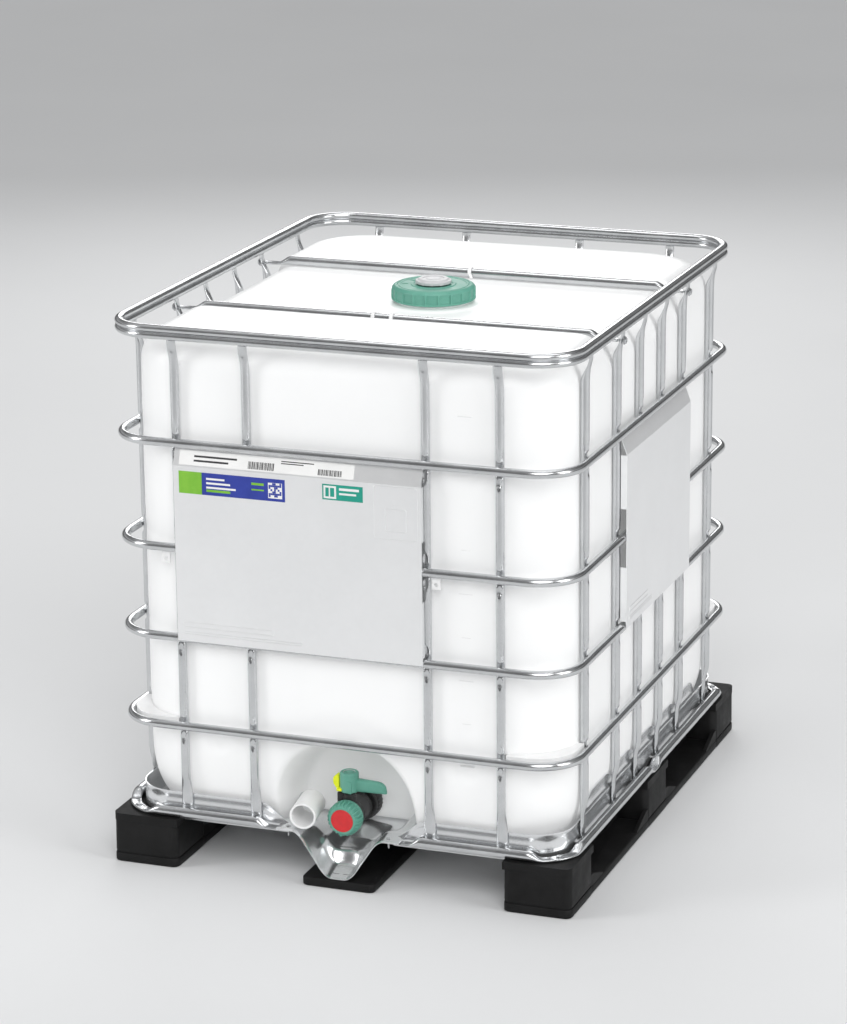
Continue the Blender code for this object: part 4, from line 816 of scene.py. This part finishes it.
def make_valve():
    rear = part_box("valve_body")[1][1]
    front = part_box("valve_body")[0][1]
    spout = front + 0.026
    profile = [(0.0240, rear), (0.0315, rear), (0.0315, rear - 0.005), (0.0285, rear - 0.0052)]
    for band in (rear - 0.018, rear - 0.024, rear - 0.058):
        profile += [(0.0285, band), (0.0296, band - 0.0006), (0.0296, band - 0.0026),
                    (0.0285, band - 0.0032)]
    profile += [(0.0285, spout + 0.001), (0.0300, spout)]
    for step in range(4):
        start = spout - 0.003 - 0.0052 * step
        profile += [(0.0290, start), (0.0305, start - 0.0010), (0.0305, start - 0.0018),
                    (0.0290, start - 0.0028)]
    profile += [(0.0292, front + 0.0008), (0.0286, front), (0.0246, front), (0.0240, front + 0.0006)]
    body = moved(lathe(flipped(profile), 96, hollow=True), AT_OUTLET)
    boss_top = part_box("valve_handle")[0][2] - 0.0003
    boss = lathe([(0.0066, 0.0270), (0.0140, 0.0270), (0.0140, 0.0400), (0.0125, 0.0415),
                  (0.0125, 0.0460), (0.0110, 0.0470), (0.0110, boss_top - OUTLET_Z - 0.0006),
                  (0.0104, boss_top - OUTLET_Z), (0.0066, boss_top - OUTLET_Z)], 48, hollow=True)
    moved(boss, shift_by(0.0, STEM_Y, OUTLET_Z))
    lug = block((-0.0245, STEM_Y - 0.0085, OUTLET_Z + 0.0200),
                (-0.0095, STEM_Y + 0.0085, OUTLET_Z + 0.0470), 0.002, 2)
    piece("valve_body_shell", joined(body, boss, lug), BLACK, BASE, ("valve_body",))

    low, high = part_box("union_nut")
    nut_front, nut_rear = low[1], high[1]
    grip = rib_wave(28, 0.0012, 0.5, 0.2)
    profile = [(0.0322, nut_rear), (0.0356, nut_rear), (0.0366, nut_rear - 0.0010, 0.3),
               (0.0368, nut_rear - 0.0020, 1), (0.0368, nut_front + 0.0120, 1),
               (0.0362, nut_front + 0.0100, 0.4),
               (0.0350, nut_front + 0.0092), (0.0350, nut_front + 0.0066), (0.0358, nut_front + 0.0060),
               (0.0358, nut_front + 0.0020), (0.0345, nut_front), (0.0292, nut_front),
               (0.0292, nut_front + 0.004), (0.0322, nut_front + 0.0045)]
    nut = moved(lathe(flipped(profile), 336, hollow=True, wave=grip), AT_OUTLET)
    piece("union_nut_shell", nut, BLACK, "union_nut", ("union_nut",))

    low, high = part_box("outlet_cap")
    face, back = low[1], high[1]
    grip = rib_wave(26, 0.0030, 0.46, 0.14)
    profile = [(0.0, face + 0.005), (0.0295, face + 0.005), (0.0311, face + 0.006), (0.0311, back),
               (0.0338, back), (0.0346, back - 0.0008), (0.0346, back - 0.0040),
               (0.0332, back - 0.0050, 0.9), (0.0328, face + 0.0105, 1),
               (0.0314, face + 0.0072, 1), (0.0298, face + 0.0045, 0.9), (0.0292, face + 0.0030, 0.3),
               (0.0290, face + 0.0014), (0.0282, face + 0.0002), (0.0256, face), (0.0243, face + 0.0006),
               (0.0243, face + 0.0023), (0.0, face + 0.0023)]
    cap = moved(lathe(flipped(profile), 312, wave=grip), AT_OUTLET)
    tabs = []
    for degrees in (78.0, 262.0):
        turn = Matrix.Rotation(math.radians(degrees), 4, 'Z')
        tab = block((0.0300, -0.0022, -(face + 0.0165)), (0.0358, 0.0022, -(face + 0.0042)), 0.0006, 1)
        tabs.append(moved(tab, AT_OUTLET @ turn))
    piece("outlet_cap_shell", joined(cap, *tabs), TEAL, "outlet_cap", ("outlet_cap",),
          angle=30.0)
    disc_low, disc_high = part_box("outlet_cap_disc")
    disc_face = disc_low[1]
    profile = [(0.0, disc_high[1]), (0.0240, disc_high[1]), (0.0240, disc_face + 0.0005),
               (0.0234, disc_face), (0.0210, disc_face + 0.0004), (0.0060, disc_face + 0.0008),
               (0.0045, disc_face + 0.0004), (0.0, disc_face + 0.0004)]
    disc = moved(lathe(flipped(profile), 96), AT_OUTLET)
    piece("outlet_cap_disc_film", disc, RED, "outlet_cap", ("outlet_cap_disc",))
    make_handle()


def make_handle():
    low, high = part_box("valve_handle")
    base, top = low[2], high[2]
    radius = HUB_RADIUS
    tall = top - base
    hub = lathe([(0.0, 0.012), (0.0066, 0.012), (0.0066, 0.0), (radius - 0.0012, 0.0),
                 (radius, 0.0012), (radius, tall - 0.0035), (radius - 0.0010, tall - 0.0015),
                 (radius - 0.0028, tall), (radius - 0.0062, tall), (radius - 0.0074, tall - 0.0012),
                 (radius - 0.0082, tall - 0.0034), (0.0072, tall - 0.0034), (0.0064, tall - 0.0016),
                 (0.0, tall - 0.0012)], 96)
    reach = high[0]
    sections = []
    for step in range(33):
        share = step / 32
        along = 0.002 + share * (reach - 0.002)
        ending = math.sqrt(max(0.0, 1.0 - max(0.0, (along - reach + 0.024) / 0.024) ** 2.6))
        bottom = 0.0006 + 0.0012 * share
        crest = bottom + (0.0285 - 0.0050 * share) * (0.30 + 0.70 * ending)
        middle = (bottom + crest) / 2.0
        half_tall = (crest - bottom) / 2.0
        thick = (0.0185 - 0.0030 * share) * (0.35 + 0.65 * ending)
        section = []
        for out, rise in circle(1.0, 1.0, 36):
            out_share = math.copysign(abs(out) ** 0.62, out)
            rise_share = math.copysign(abs(rise) ** 0.55, rise)
            section.append(Vector((along, out_share * thick / 2.0, middle + rise_share * half_tall)))
        sections.append(section)
    lever = loft(sections)
    web = block((0.004, -radius - 0.0008, -0.0001), (0.0115, -radius + 0.004, 0.0245), 0.0012, 2)
    handle = moved(joined(hub, lever, web), shift_by(0.0, STEM_Y, base))
    piece("valve_handle_shell", handle, TEAL, "valve_handle", ("valve_handle",), angle=34.0)
    ring = lathe([(0.0118, tall - 0.0030), (0.0132, tall - 0.0030), (0.0132, tall - 0.0012),
                  (0.0128, tall - 0.0008), (0.0120, tall - 0.0008), (0.0118, tall - 0.0012)], 72,
                  hollow=True)
    piece("valve_handle_ring", moved(ring, shift_by(0.0, STEM_Y, base)), GREY,
          "valve_handle")

    low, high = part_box("safety_clip")
    outer = low[0]
    face = -HUB_RADIUS - 0.0003
    bottom, crest = low[2], high[2]
    outline = [(face, bottom + 0.004), (face, crest - 0.002), (face - 0.003, crest),
               (face - 0.0075, crest - 0.0006),
               (outer + 0.0010, crest - 0.0052), (outer, crest - 0.0105), (outer + 0.0004, crest - 0.0180),
               (outer + 0.0035, bottom + 0.0070), (face - 0.0060, bottom + 0.0015), (face - 0.0030, bottom)]
    sections = []
    for y, inset in ((-0.0090, 0.0012), (-0.0080, 0.0), (0.0080, 0.0), (0.0090, 0.0012)):
        centre = Vector((sum(x for x, z in outline) / len(outline),
                         sum(z for x, z in outline) / len(outline)))
        sections.append([Vector((centre.x + (x - centre.x) * (1.0 - inset * 60.0), STEM_Y + y,
                                 centre.y + (z - centre.y) * (1.0 - inset * 40.0))) for x, z in outline])
    shell = loft(sections)
    tongue = block((face - 0.003, STEM_Y - 0.004, (bottom + crest) / 2.0 - 0.004),
                   (high[0], STEM_Y + 0.004, (bottom + crest) / 2.0 + 0.004), 0.0008, 1)
    toe = block((face - 0.002, STEM_Y - 0.0190, bottom - 0.0010),
                (face + 0.009, STEM_Y - 0.0030, bottom + 0.0042), 0.001, 2)
    piece("safety_clip_shell", joined(shell, tongue, toe), YELLOW, "safety_clip",
          ("safety_clip",), angle=50.0)


# ---------------------------------------------------------------- pan and trough

PAN_HALF_X = 0.4694
PAN_HALF_Y = 0.5614
PAN_CORNER = 0.080
PAN_MOUTH = 0.112
TROUGH_REAR = -0.4420
TROUGH_FRONT = -0.5980
TROUGH_HALF = 0.134
FLANGE_LEVEL = 0.1150
SCREW_Y = -0.5800


def wall_top(point):
    """The pan wall dips on both sides of the trough."""
    if point.y > -PAN_HALF_Y + 0.03:
        return PAN_TOP
    return FLANGE_LEVEL + 0.0004 + (PAN_TOP - FLANGE_LEVEL) * smooth((abs(point.x) - PAN_MOUTH) / 0.066)


def make_pan():
    path = rounded_path(PAN_HALF_X, PAN_HALF_Y, PAN_CORNER, 16, 0.008)
    kept = [(p, o) for p, o in path if not (p.y < -PAN_HALF_Y + 0.001 and abs(p.x) < PAN_MOUTH)]
    sections = []
    low = PAN_FLOOR - 0.002
    for point, out in first_beside(kept, PAN_MOUTH, -PAN_HALF_Y):
        top = wall_top(point)
        drop = (top - low) / 0.06
        bead = 0.0014 * smooth((top - 0.125) / 0.02)
        swage = 0.0012 * smooth((top - 0.14) / 0.01)
        line = [(-0.010, low), (-0.002, low + 0.0004), (0.0, low + 0.004), (0.0, top - 0.0250 * drop),
                (-swage, top - 0.0200 * drop), (-swage, top - 0.0100 * drop),
                (0.0, top - 0.0070 * drop), (0.0, top - bead - 0.0010), (bead * 0.2, top - bead),
                (0.0, top), (-0.0022, top), (-0.0026, top - bead),
                (-0.0018, top - bead - 0.0010), (-0.0018, low + 0.006), (-0.010, low + 0.0020)]
        sections.append([point + out * reach + up(level) for reach, level in line])
    wall = loft(sections)

    floor_path = rounded_path(PAN_HALF_X - 0.006, PAN_HALF_Y - 0.006, PAN_CORNER - 0.006, 12)
    plate = loft([[p + up(z) for p, o in floor_path] for z in (PAN_FLOOR - 0.002, PAN_FLOOR - 0.0002)])
    plate = link(bpy.data.objects.new("pan_plate", mesh_of("pan_plate", plate)))
    outline = [(-0.132, -0.60), (0.132, -0.60), (0.132, -0.446), (-0.132, -0.446)]
    cutter = cut_away(plate, loft([[Vector((x, y, z)) for x, y in outline] for z in (0.08, 0.11)]))
    floor = bmesh.new()
    floor.from_mesh(baked(plate, cutter))
    bpy.data.objects.remove(plate, do_unlink=True)

    aprons = []
    for sign in (-1.0, 1.0):
        sections = []
        for step in range(67):
            y = -0.400 + 0.800 * step / 66
            between = nearest(y, SIDE_LINES)
            end = smooth((0.412 - abs(y)) / 0.060)
            top = PAN_TOP + 0.032 * end - 0.010 * math.exp(-(between / 0.016) ** 2) * end
            line = []
            for share in (0.0, 0.25, 0.5, 0.75, 1.0):
                level = PAN_TOP - 0.006 + (top - PAN_TOP + 0.006) * share
                curl = math.acos(max(-1.0, 1.0 - (level - BOTTLE_LOW[2]) / HEEL_RISE))
                skin = BOTTLE_HALF_X - HEEL_PULL * (1.0 - math.sin(curl)) + 0.0026
                lean = PAN_HALF_X - 0.0022
                line.append((min(lean, skin + (lean - skin) * (1.0 - share) ** 2), level))
            front = [Vector((sign * x, y, z)) for x, z in line]
            back = [Vector((sign * (x - 0.0012), y, z)) for x, z in reversed(line)]
            sections.append(front + back)
        aprons.append(loft(sections))
    whole = joined(wall, floor, *aprons)
    piece("base_pan_sheet", whole, ZINC_BRIGHT, stands_for=("base_pan",))


def trough_height(x, y):
    """The channel under the outlet: a drop, a terrace, a fold, then the sloping drain floor."""
    share = (TROUGH_REAR - y) / (TROUGH_REAR - TROUGH_FRONT)
    flange = PAN_FLOOR + 0.0006 + (FLANGE_LEVEL - PAN_FLOOR) * smooth((share - 0.20) / 0.5)
    across = abs(x)
    swing = 0.05 * smooth(across / 0.05)
    along = share - swing
    terrace = 0.066 - 0.018 * along
    drain = 0.0212 + 0.030 * (1.0 - along)
    floor = PAN_FLOOR + (terrace - PAN_FLOOR) * smooth((along - 0.02) / 0.16)
    floor += (drain - floor) * smooth((along - 0.52) / 0.14)
    floor += 0.0022 * math.exp(-((along - 0.50) / 0.035) ** 2)
    half_floor = 0.027 + 0.006 * (1.0 - share)
    mouth = 0.076 + 0.012 * share
    wall = ramp((across - half_floor) / (mouth - half_floor), 0.22)
    height = floor + (flange - floor) * wall
    ledge = math.exp(-((across - half_floor - 0.42 * (mouth - half_floor)) / 0.0045) ** 2)
    height += 0.0026 * ledge * smooth((share - 0.1) / 0.3) * smooth((0.92 - share) / 0.2)
    wing = 0.046 * ramp((across - 0.094) / 0.036, 0.2) * (1.0 - smooth((share - 0.10) / 0.50))
    height += wing
    lip = 0.0022 * smooth((share - 0.965) / 0.035)
    return height - lip * smooth(wall * 3.0 + 0.3)


def make_trough():
    rows, columns = 96, 150
    bm = bmesh.new()
    grid = []
    for row in range(rows + 1):
        y = TROUGH_REAR + (TROUGH_FRONT - TROUGH_REAR) * row / rows
        line = []
        for column in range(columns + 1):
            x = -TROUGH_HALF + 2.0 * TROUGH_HALF * column / columns
            line.append(bm.verts.new((x, y, trough_height(x, y))))
        grid.append(line)
    slots = ((-0.010, -0.5790, 0.0070, 0.0013), (0.012, -0.5790, 0.0070, 0.0013))
    for row in range(rows):
        for column in range(columns):
            corners = (grid[row][column], grid[row][column + 1], grid[row + 1][column + 1],
                       grid[row + 1][column])
            middle = sum((corner.co for corner in corners), Vector()) / 4.0
            if any(abs(middle.x - x) < w and abs(middle.y - y) < h for x, y, w, h in slots):
                continue
            bm.faces.new(corners)
    bm.normal_update()
    bmesh.ops.solidify(bm, geom=bm.faces[:], thickness=0.0014)
    piece("base_pan_trough", bm, ZINC_BRIGHT, stands_for=("base_pan",), angle=50.0)
    parts = []
    for x in (-0.1130, 0.1060):
        shank = lathe([(0.0, -0.020), (0.0012, -0.019), (0.0022, -0.016), (0.0022, 0.001), (0.0, 0.001)],
                      20)
        parts.append(moved(screw_head(0.0052, 0.0030), shift_by(x, SCREW_Y, FLANGE_LEVEL + 0.0004)))
        parts.append(moved(shank, shift_by(x, SCREW_Y, FLANGE_LEVEL)))
    piece("trough_screws", joined(*parts), ZINC_SCREW)


# ---------------------------------------------------------------- plates and labels

STRIP_HEIGHT = 0.034
STRIP_LEAN = 0.0127
FILM = 0.0003


def flat_label(name, material, boxes):
    """Thin films that lie on the front plate; boxes are (x low, x high, z low, z high, lift)."""
    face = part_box("front_plate")[0][1]
    parts = []
    for x_low, x_high, z_low, z_high, lift in boxes:
        parts.append(block((x_low, face - lift - FILM, z_low), (x_high, face - lift + 0.0001, z_high)))
    piece(name, joined(*parts), material)


def make_labels():
    """A blue panel with a green end, and a small teal one, both with plain marks."""
    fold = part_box("front_plate")[1][2] - STRIP_HEIGHT
    left, right, low, high = -0.330, -0.100, fold - 0.056, fold - 0.010
    flat_label("label_panel", BLUE_FILM, [(left + 0.050, right, low, high, 0.0)])
    flat_label("label_panel_end", GREEN_FILM,
               [(left, left + 0.0505, low, high, 0.0), (left + 0.060, left + 0.112, low + 0.007,
                                                        low + 0.012, FILM),
                (right - 0.072, right - 0.045, high - 0.016, high - 0.011, FILM),
                (right - 0.072, right - 0.045, high - 0.027, high - 0.024, FILM)])
    white = []
    for row in range(3):
        down = high - 0.009 * row
        white.append((left + 0.060, left + 0.100 + 0.012 * row, down - 0.014, down - 0.010, FILM))
    white.append((right - 0.036, right - 0.006, low + 0.006, high - 0.008, FILM))
    flat_label("label_panel_marks", PAPER, white)
    squares = []
    for row in range(7):
        for column in range(7):
            if (row * 5 + column * 3 + row * column) % 4 < 2:
                x = right - 0.0345 + column * 0.0039
                z = low + 0.0085 + row * 0.0042
                squares.append((x, x + 0.0036, z, z + 0.0039, 2.0 * FILM))
    flat_label("label_squares", BLUE_FILM, squares)
    flat_label("label_small", TEAL_FILM, [(-0.020, 0.066, fold - 0.042, fold - 0.010, 0.0)])
    flat_label("label_small_marks", PAPER,
               [(-0.017, 0.0095, fold - 0.039, fold - 0.013, FILM),
                (0.016, 0.058, fold - 0.021, fold - 0.016, FILM),
                (0.016, 0.052, fold - 0.030, fold - 0.026, FILM)])
    flat_label("label_small_sign", TEAL_FILM,
               [(x, x_high, fold - 0.035, fold - 0.017, 2.0 * FILM) for x,
                x_high in ((-0.013, -0.006), (-0.003, 0.0055))])


def label_bars():
    """Plain bars printed on the sloping strip at the top of the front plate."""
    low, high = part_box("front_plate")
    fold = high[2] - STRIP_HEIGHT
    face = low[1]
    slope = STRIP_LEAN / STRIP_HEIGHT
    bars = []
    count = 0
    for x, end, tall, widths, gaps in (
            (-0.180, -0.125, 0.0200, (0.0009, 0.0016, 0.0012, 0.0022), (0.0013, 0.0010, 0.0018)),
            (-0.030, 0.020, 0.0170, (0.0014, 0.0009, 0.0020), (0.0010, 0.0016, 0.0012, 0.0020))):
        while x < end:
            width = widths[count % len(widths)]
            bars.append((x, x + width, 0.0060, tall))
            x += width + gaps[count % len(gaps)]
            count += 1
    for row in range(2):
        bars.append((-0.298, -0.205 - 0.018 * row, 0.0190 - 0.0085 * row, 0.0225 - 0.0085 * row))
    bars.append((-0.110, -0.040, 0.0245, 0.0262))
    bars.append((-0.110, -0.062, 0.0205, 0.0222))

    def slab(x_low, x_high, up_low, up_high, lift):
        corners = []
        for away in (lift, lift - 0.0004):
            for x_value, up in ((x_low, up_low), (x_high, up_low), (x_high, up_high), (x_low, up_high)):
                corners.append(Vector((x_value, face + up * slope - away, fold + up)))
        return loft([corners[0:4], corners[4:8]])

    piece("label_strip_film", slab(-0.330, 0.046, 0.0030, 0.0310, FILM), PAPER)
    piece("label_strip_bars", joined(*[slab(*bar, 2.0 * FILM) for bar in bars]), INK)


def pressed_frame(x_low, x_high, z_low, z_high, radius, face, on_side=False):
    """A low rounded bead that runs round a rectangle on the front plate, or on the side plate."""
    sections = []
    for point, out in rounded_path((x_high - x_low) / 2.0, (z_high - z_low) / 2.0, radius, 6):
        section = []
        for a, b in circle(0.0011, 0.0008, 10):
            along = (x_low + x_high) / 2.0 + point.x + out.x * a
            level = (z_low + z_high) / 2.0 + point.y + out.y * a
            section.append(Vector((face + b, along, level) if on_side else (along, face - b, level)))
        sections.append(section)
    return loft(sections, closed=True)


def make_plate_details():
    low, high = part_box("front_plate")
    fold = high[2] - STRIP_HEIGHT
    beads = []
    for x_low, x_high, z_low, z_high, radius in (
            (0.088, 0.180, fold - 0.112, fold - 0.004, 0.006), (0.112, 0.156, fold - 0.096, fold - 0.050,
                                                                0.003),
            (-0.330, -0.130, low[2] + 0.0300, low[2] + 0.0400, 0.004),
            (-0.330, -0.070, low[2] + 0.0150, low[2] + 0.0200, 0.002)):
        beads.append(pressed_frame(x_low, x_high, z_low, z_high, radius, low[1]))
    piece("front_plate_beads", joined(*beads), ZINC_SHEET)
    low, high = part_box("side_plate")
    beads = []
    for reach, z_low, z_high, radius in ((0.150, 0.0300, 0.0400, 0.004), (0.180, 0.0150, 0.0200, 0.002)):
        beads.append(pressed_frame(low[1] + 0.020, low[1] + reach, low[2] + z_low, low[2] + z_high, radius,
                                   high[0], on_side=True))
    piece("side_plate_beads", joined(*beads), ZINC_SHEET)


# ---------------------------------------------------------------- pallet

LEDGE_X = 0.4995
LEDGE_Y = 0.5995


def upright_block(x_low, x_high, y_low, y_high, levels, radius, steps):
    """A moulded block with soft upright corners; levels are (height, how far its sides draw in)."""
    centre = Vector(((x_low + x_high) / 2.0, (y_low + y_high) / 2.0, 0.0))
    sections = []
    for level, pull in levels:
        path = rounded_path((x_high - x_low) / 2.0 - pull, (y_high - y_low) / 2.0 - pull,
                            radius - pull * 0.5, steps)
        sections.append([centre + p + up(level) for p, o in path])
    return loft(sections)


def foot_block(x_low, x_high, y_low, y_high, top):
    """A foot: a slight taper and a shadow groove above its sole."""
    levels = [(0.0000, 0.0030), (0.0012, 0.0012), (0.0030, 0.0004), (0.0165, 0.0), (0.0185, 0.0008),
              (0.0190, 0.0026),
              (0.0212, 0.0026), (0.0218, 0.0012), (0.0240, 0.0006), (top - 0.0040, 0.0012),
              (top - 0.0012, 0.0020), (top, 0.0040)]
    return upright_block(x_low, x_high, y_low, y_high, levels, 0.016, 8)


def sole_board(x_low, x_high, y_low, y_high, thick):
    levels = ((0.0, 0.003), (0.0012, 0.0010), (0.003, 0.0), (thick - 0.003, 0.0), (thick - 0.001, 0.001),
              (thick, 0.003))
    return upright_block(x_low, x_high, y_low, y_high, levels, 0.012, 6)


def gusset(x, width, y, direction, length, height, base):
    """An upright web that slopes down from a foot to the sole board."""
    outline = [(y - direction * 0.010, base - 0.004), (y + direction * length, base - 0.004),
               (y + direction * length, base + 0.001), (y + direction * 0.004, base + height),
               (y - direction * 0.010, base + height)]
    sections = [[Vector((x + side * width / 2.0, a, b)) for a, b in outline] for side in (-1.0, 1.0)]
    return loft(sections)


def make_runner(name, feet):
    low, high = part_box(f"pallet_runner_{name}")
    parts = [sole_board(low[0] + 0.001, high[0] - 0.001, low[1] + 0.0005, high[1] - 0.0005, 0.0188)]
    seat = 0.0935
    for y_low, y_high in feet:
        parts.append(foot_block(low[0], high[0], y_low, y_high, seat))
        for edge, direction in ((y_low, -1.0), (y_high, 1.0)):
            if low[1] + 0.01 < edge < high[1] - 0.01:
                for x in (low[0] + 0.006, high[0] - 0.006, (low[0] + high[0]) / 2.0):
                    parts.append(gusset(x, 0.008, edge, direction, 0.070, 0.024, 0.019))
    piece(f"pallet_runner_{name}_body", joined(*parts), PALLET,
          stands_for=(f"pallet_runner_{name}",))


def ledge(name, outline):
    """The raised rim of a foot outside the pan, on which the base rim rests."""
    sections = [[Vector((x, y, z)) for x, y in outline] for z in (0.090, 0.1062)]
    piece(name, loft(sections), PALLET)


def make_ledges():
    """Corner and mid-side ledges: the part of each foot that stands outside the pan."""
    inner_x = PAN_HALF_X + 0.002
    inner_y = PAN_HALF_Y + 0.002
    radius = PAN_CORNER + 0.002
    for label, sign_x, sign_y in (("front_left", -1, -1), ("front_right", 1, -1), ("rear_left", -1, 1),
                                  ("rear_right", 1, 1)):
        outline = [(0.355, LEDGE_Y), (0.484, LEDGE_Y)]
        for step in range(1, 8):
            angle = math.pi / 2.0 * (1.0 - step / 8)
            outline.append((0.484 + 0.0155 * math.cos(angle), 0.584 + 0.0155 * math.sin(angle)))
        outline += [(LEDGE_X, 0.584), (LEDGE_X, 0.4505), (inner_x, 0.4505)]
        for step in range(9):
            angle = math.pi / 2.0 * step / 8
            outline.append((inner_x - radius + radius * math.cos(angle),
                            inner_y - radius + radius * math.sin(angle)))
        outline.append((0.355, inner_y))
        ledge(f"pallet_ledge_{label}", [(sign_x * x, sign_y * y) for x, y in outline])
    for label, sign_x in (("left", -1), ("right", 1)):
        outline = [(inner_x, -0.0745), (LEDGE_X, -0.0745), (LEDGE_X, 0.0745), (inner_x, 0.0745)]
        ledge(f"pallet_ledge_middle_{label}", [(sign_x * x, y) for x, y in outline])
    outline = [(-0.0795, inner_y), (0.0795, inner_y), (0.0795, LEDGE_Y), (-0.0795, LEDGE_Y)]
    ledge("pallet_ledge_rear_centre", outline)


def make_pallet():
    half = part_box("pallet_runner_left")[1][1]
    front = (-half, -half + 0.150)
    middle = (-0.075, 0.075)
    rear = (half - 0.150, half)
    make_runner("left", (front, middle, rear))
    make_runner("right", (front, middle, rear))
    make_runner("centre", (middle, rear))
    make_ledges()


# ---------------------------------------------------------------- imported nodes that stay, with their finishes

def repaint(node, material, bevel=0.0, segments=2):
    obj = NODES[node]
    for slot in obj.material_slots:
        slot.material = material
    if bevel:
        soft = obj.modifiers.new("soft_edges", 'BEVEL')
        soft.width = bevel
        soft.segments = segments
        soft.limit_method = 'ANGLE'
        soft.angle_limit = math.radians(40.0)


def repaint_nodes():
    for name in ("front_plate", "side_plate"):
        repaint(name, ZINC_SHEET, 0.0003)
    for name in ("front_left", "front_right", "rear_left", "rear_right"):
        repaint(f"corner_guard_{name}", WHITE, 0.002, 3)
    for name in ("left", "right"):
        repaint(f"seal_tag_{name}", WHITE, 0.0005)
    for name in ("filling_gasket", "vent_gasket", "outlet_gasket", "outlet_seal"):
        repaint(name, RUBBER)
    repaint("valve_disc", BLACK, 0.0006)
    repaint("spare_spout", WHITE, 0.0012, 3)


# ---------------------------------------------------------------- stage

def make_stage():
    size = 60.0
    bm = bmesh.new()
    corners = [bm.verts.new((x, y, 0.0)) for x, y in ((-size, -size), (size, -size), (size, size),
                                                      (-size, size))]
    bm.faces.new(corners)
    mesh = bpy.data.meshes.new("floor")
    bm.to_mesh(mesh)
    bm.free()
    floor = link(bpy.data.objects.new("floor", mesh))
    floor.location.z = -0.0005
    mesh.materials.append(surface("floor_paint", (0.74, 0.745, 0.75), (0.76, 0.765, 0.77), (0.7, 0.8),
                                  patch=0.5, grain=20.0, bump=0.0001))

    world = bpy.data.worlds.new("studio")
    bpy.context.scene.world = world
    world.use_nodes = True
    tree = world.node_tree
    place = tree.nodes.new("ShaderNodeTexCoord")
    split = tree.nodes.new("ShaderNodeSeparateXYZ")
    shade = tree.nodes.new("ShaderNodeValToRGB")
    tree.links.new(place.outputs["Generated"], split.inputs["Vector"])
    tree.links.new(split.outputs["Z"], shade.inputs["Fac"])
    elements = shade.color_ramp.elements
    elements[0].position = 0.0
    elements[0].color = (0.10, 0.102, 0.105, 1.0)
    elements[1].position = 1.0
    elements[1].color = (0.90, 0.91, 0.92, 1.0)
    for position, value in ((0.14, 0.20), (0.22, 0.70), (0.36, 0.74), (0.44, 0.26), (0.60, 0.30),
                            (0.74, 0.85)):
        element = elements.new(position)
        element.color = (value, value * 1.005, value * 1.015, 1.0)
    turn = tree.nodes.new("ShaderNodeTexGradient")
    turn.gradient_type = 'RADIAL'
    bands = tree.nodes.new("ShaderNodeValToRGB")
    tree.links.new(place.outputs["Generated"], turn.inputs["Vector"])
    tree.links.new(turn.outputs["Fac"], bands.inputs["Fac"])
    stops = bands.color_ramp.elements
    stops[0].position = 0.0
    stops[0].color = (1.30, 1.30, 1.30, 1.0)
    stops[1].position = 1.0
    stops[1].color = (1.30, 1.30, 1.30, 1.0)
    for position, value in ((0.08, 1.25), (0.19, 0.50), (0.30, 1.35), (0.42, 0.45), (0.53, 1.25),
                            (0.66, 0.50), (0.82, 0.55), (0.92, 1.20)):
        stop = stops.new(position)
        stop.color = (value, value, value, 1.0)
    whole = tree.nodes.new("ShaderNodeVectorMath")
    whole.operation = 'MULTIPLY'
    tree.links.new(shade.outputs["Color"], whole.inputs[0])
    tree.links.new(bands.outputs["Color"], whole.inputs[1])
    back = tree.nodes["Background"]
    tree.links.new(whole.outputs["Vector"], back.inputs["Color"])
    back.inputs["Strength"].default_value = 0.50

    sun = bpy.data.lights.new("key_light", 'SUN')
    sun.energy = 1.50
    sun.angle = math.radians(42.0)
    key = link(bpy.data.objects.new("key_light", sun))
    key.rotation_euler = Vector((-0.34, 0.74, -0.64)).to_track_quat('-Z', 'Y').to_euler()
    for name, place_at, target, width, height, power in (
            ("left_light", (-4.6, -3.2, 2.6), (0.0, 0.0, 0.6), 1.6, 3.6, 95.0),
            ("right_light", (5.2, -1.4, 2.8), (0.0, 0.0, 0.6), 2.2, 3.6, 110.0),
            ("top_light", (0.0, 0.4, 4.6), (0.0, 0.0, 1.0), 3.0, 2.0, 34.0),
            ("back_light", (-2.0, 5.5, 3.2), (0.0, 0.0, 0.8), 3.0, 2.0, 70.0)):
        light = bpy.data.lights.new(name, 'AREA')
        light.shape = 'RECTANGLE'
        light.size = width
        light.size_y = height
        light.energy = power
        obj = link(bpy.data.objects.new(name, light))
        obj.location = place_at
        aim = Vector(target) - Vector(place_at)
        obj.rotation_euler = aim.to_track_quat('-Z', 'Y').to_euler()
    bpy.context.scene.view_settings.view_transform = 'Standard'
    bpy.context.scene.view_settings.look = 'None'


def make_camera():
    turn = math.radians(20.481)
    tilt = math.radians(16.225)
    roll = math.radians(-0.603)
    data = bpy.data.cameras.new("camera")
    data.sensor_width = 36.0
    data.lens = 127.19
    camera = bpy.data.objects.new("camera", data)
    back = Vector((math.sin(turn) * math.cos(tilt), -math.cos(turn) * math.cos(tilt), math.sin(tilt)))
    right = Vector((0.0, 0.0, 1.0)).cross(back).normalized()
    up = back.cross(right)
    side = right * math.cos(roll) + up * math.sin(roll)
    lift = up * math.cos(roll) - right * math.sin(roll)
    rotation = Matrix((side, lift, back)).transposed().to_4x4()
    camera.matrix_world = Matrix.Translation((2.574, -6.966, 2.797)) @ rotation
    link(camera)
    bpy.context.scene.camera = camera


make_camera()
make_rings()
make_top_rim()
make_base_rim()
make_posts()
make_crossbars()
make_bottle()
make_filling_cap()
make_valve()
make_pan()
make_trough()
make_labels()
label_bars()
make_plate_details()
make_pallet()
repaint_nodes()
make_stage()
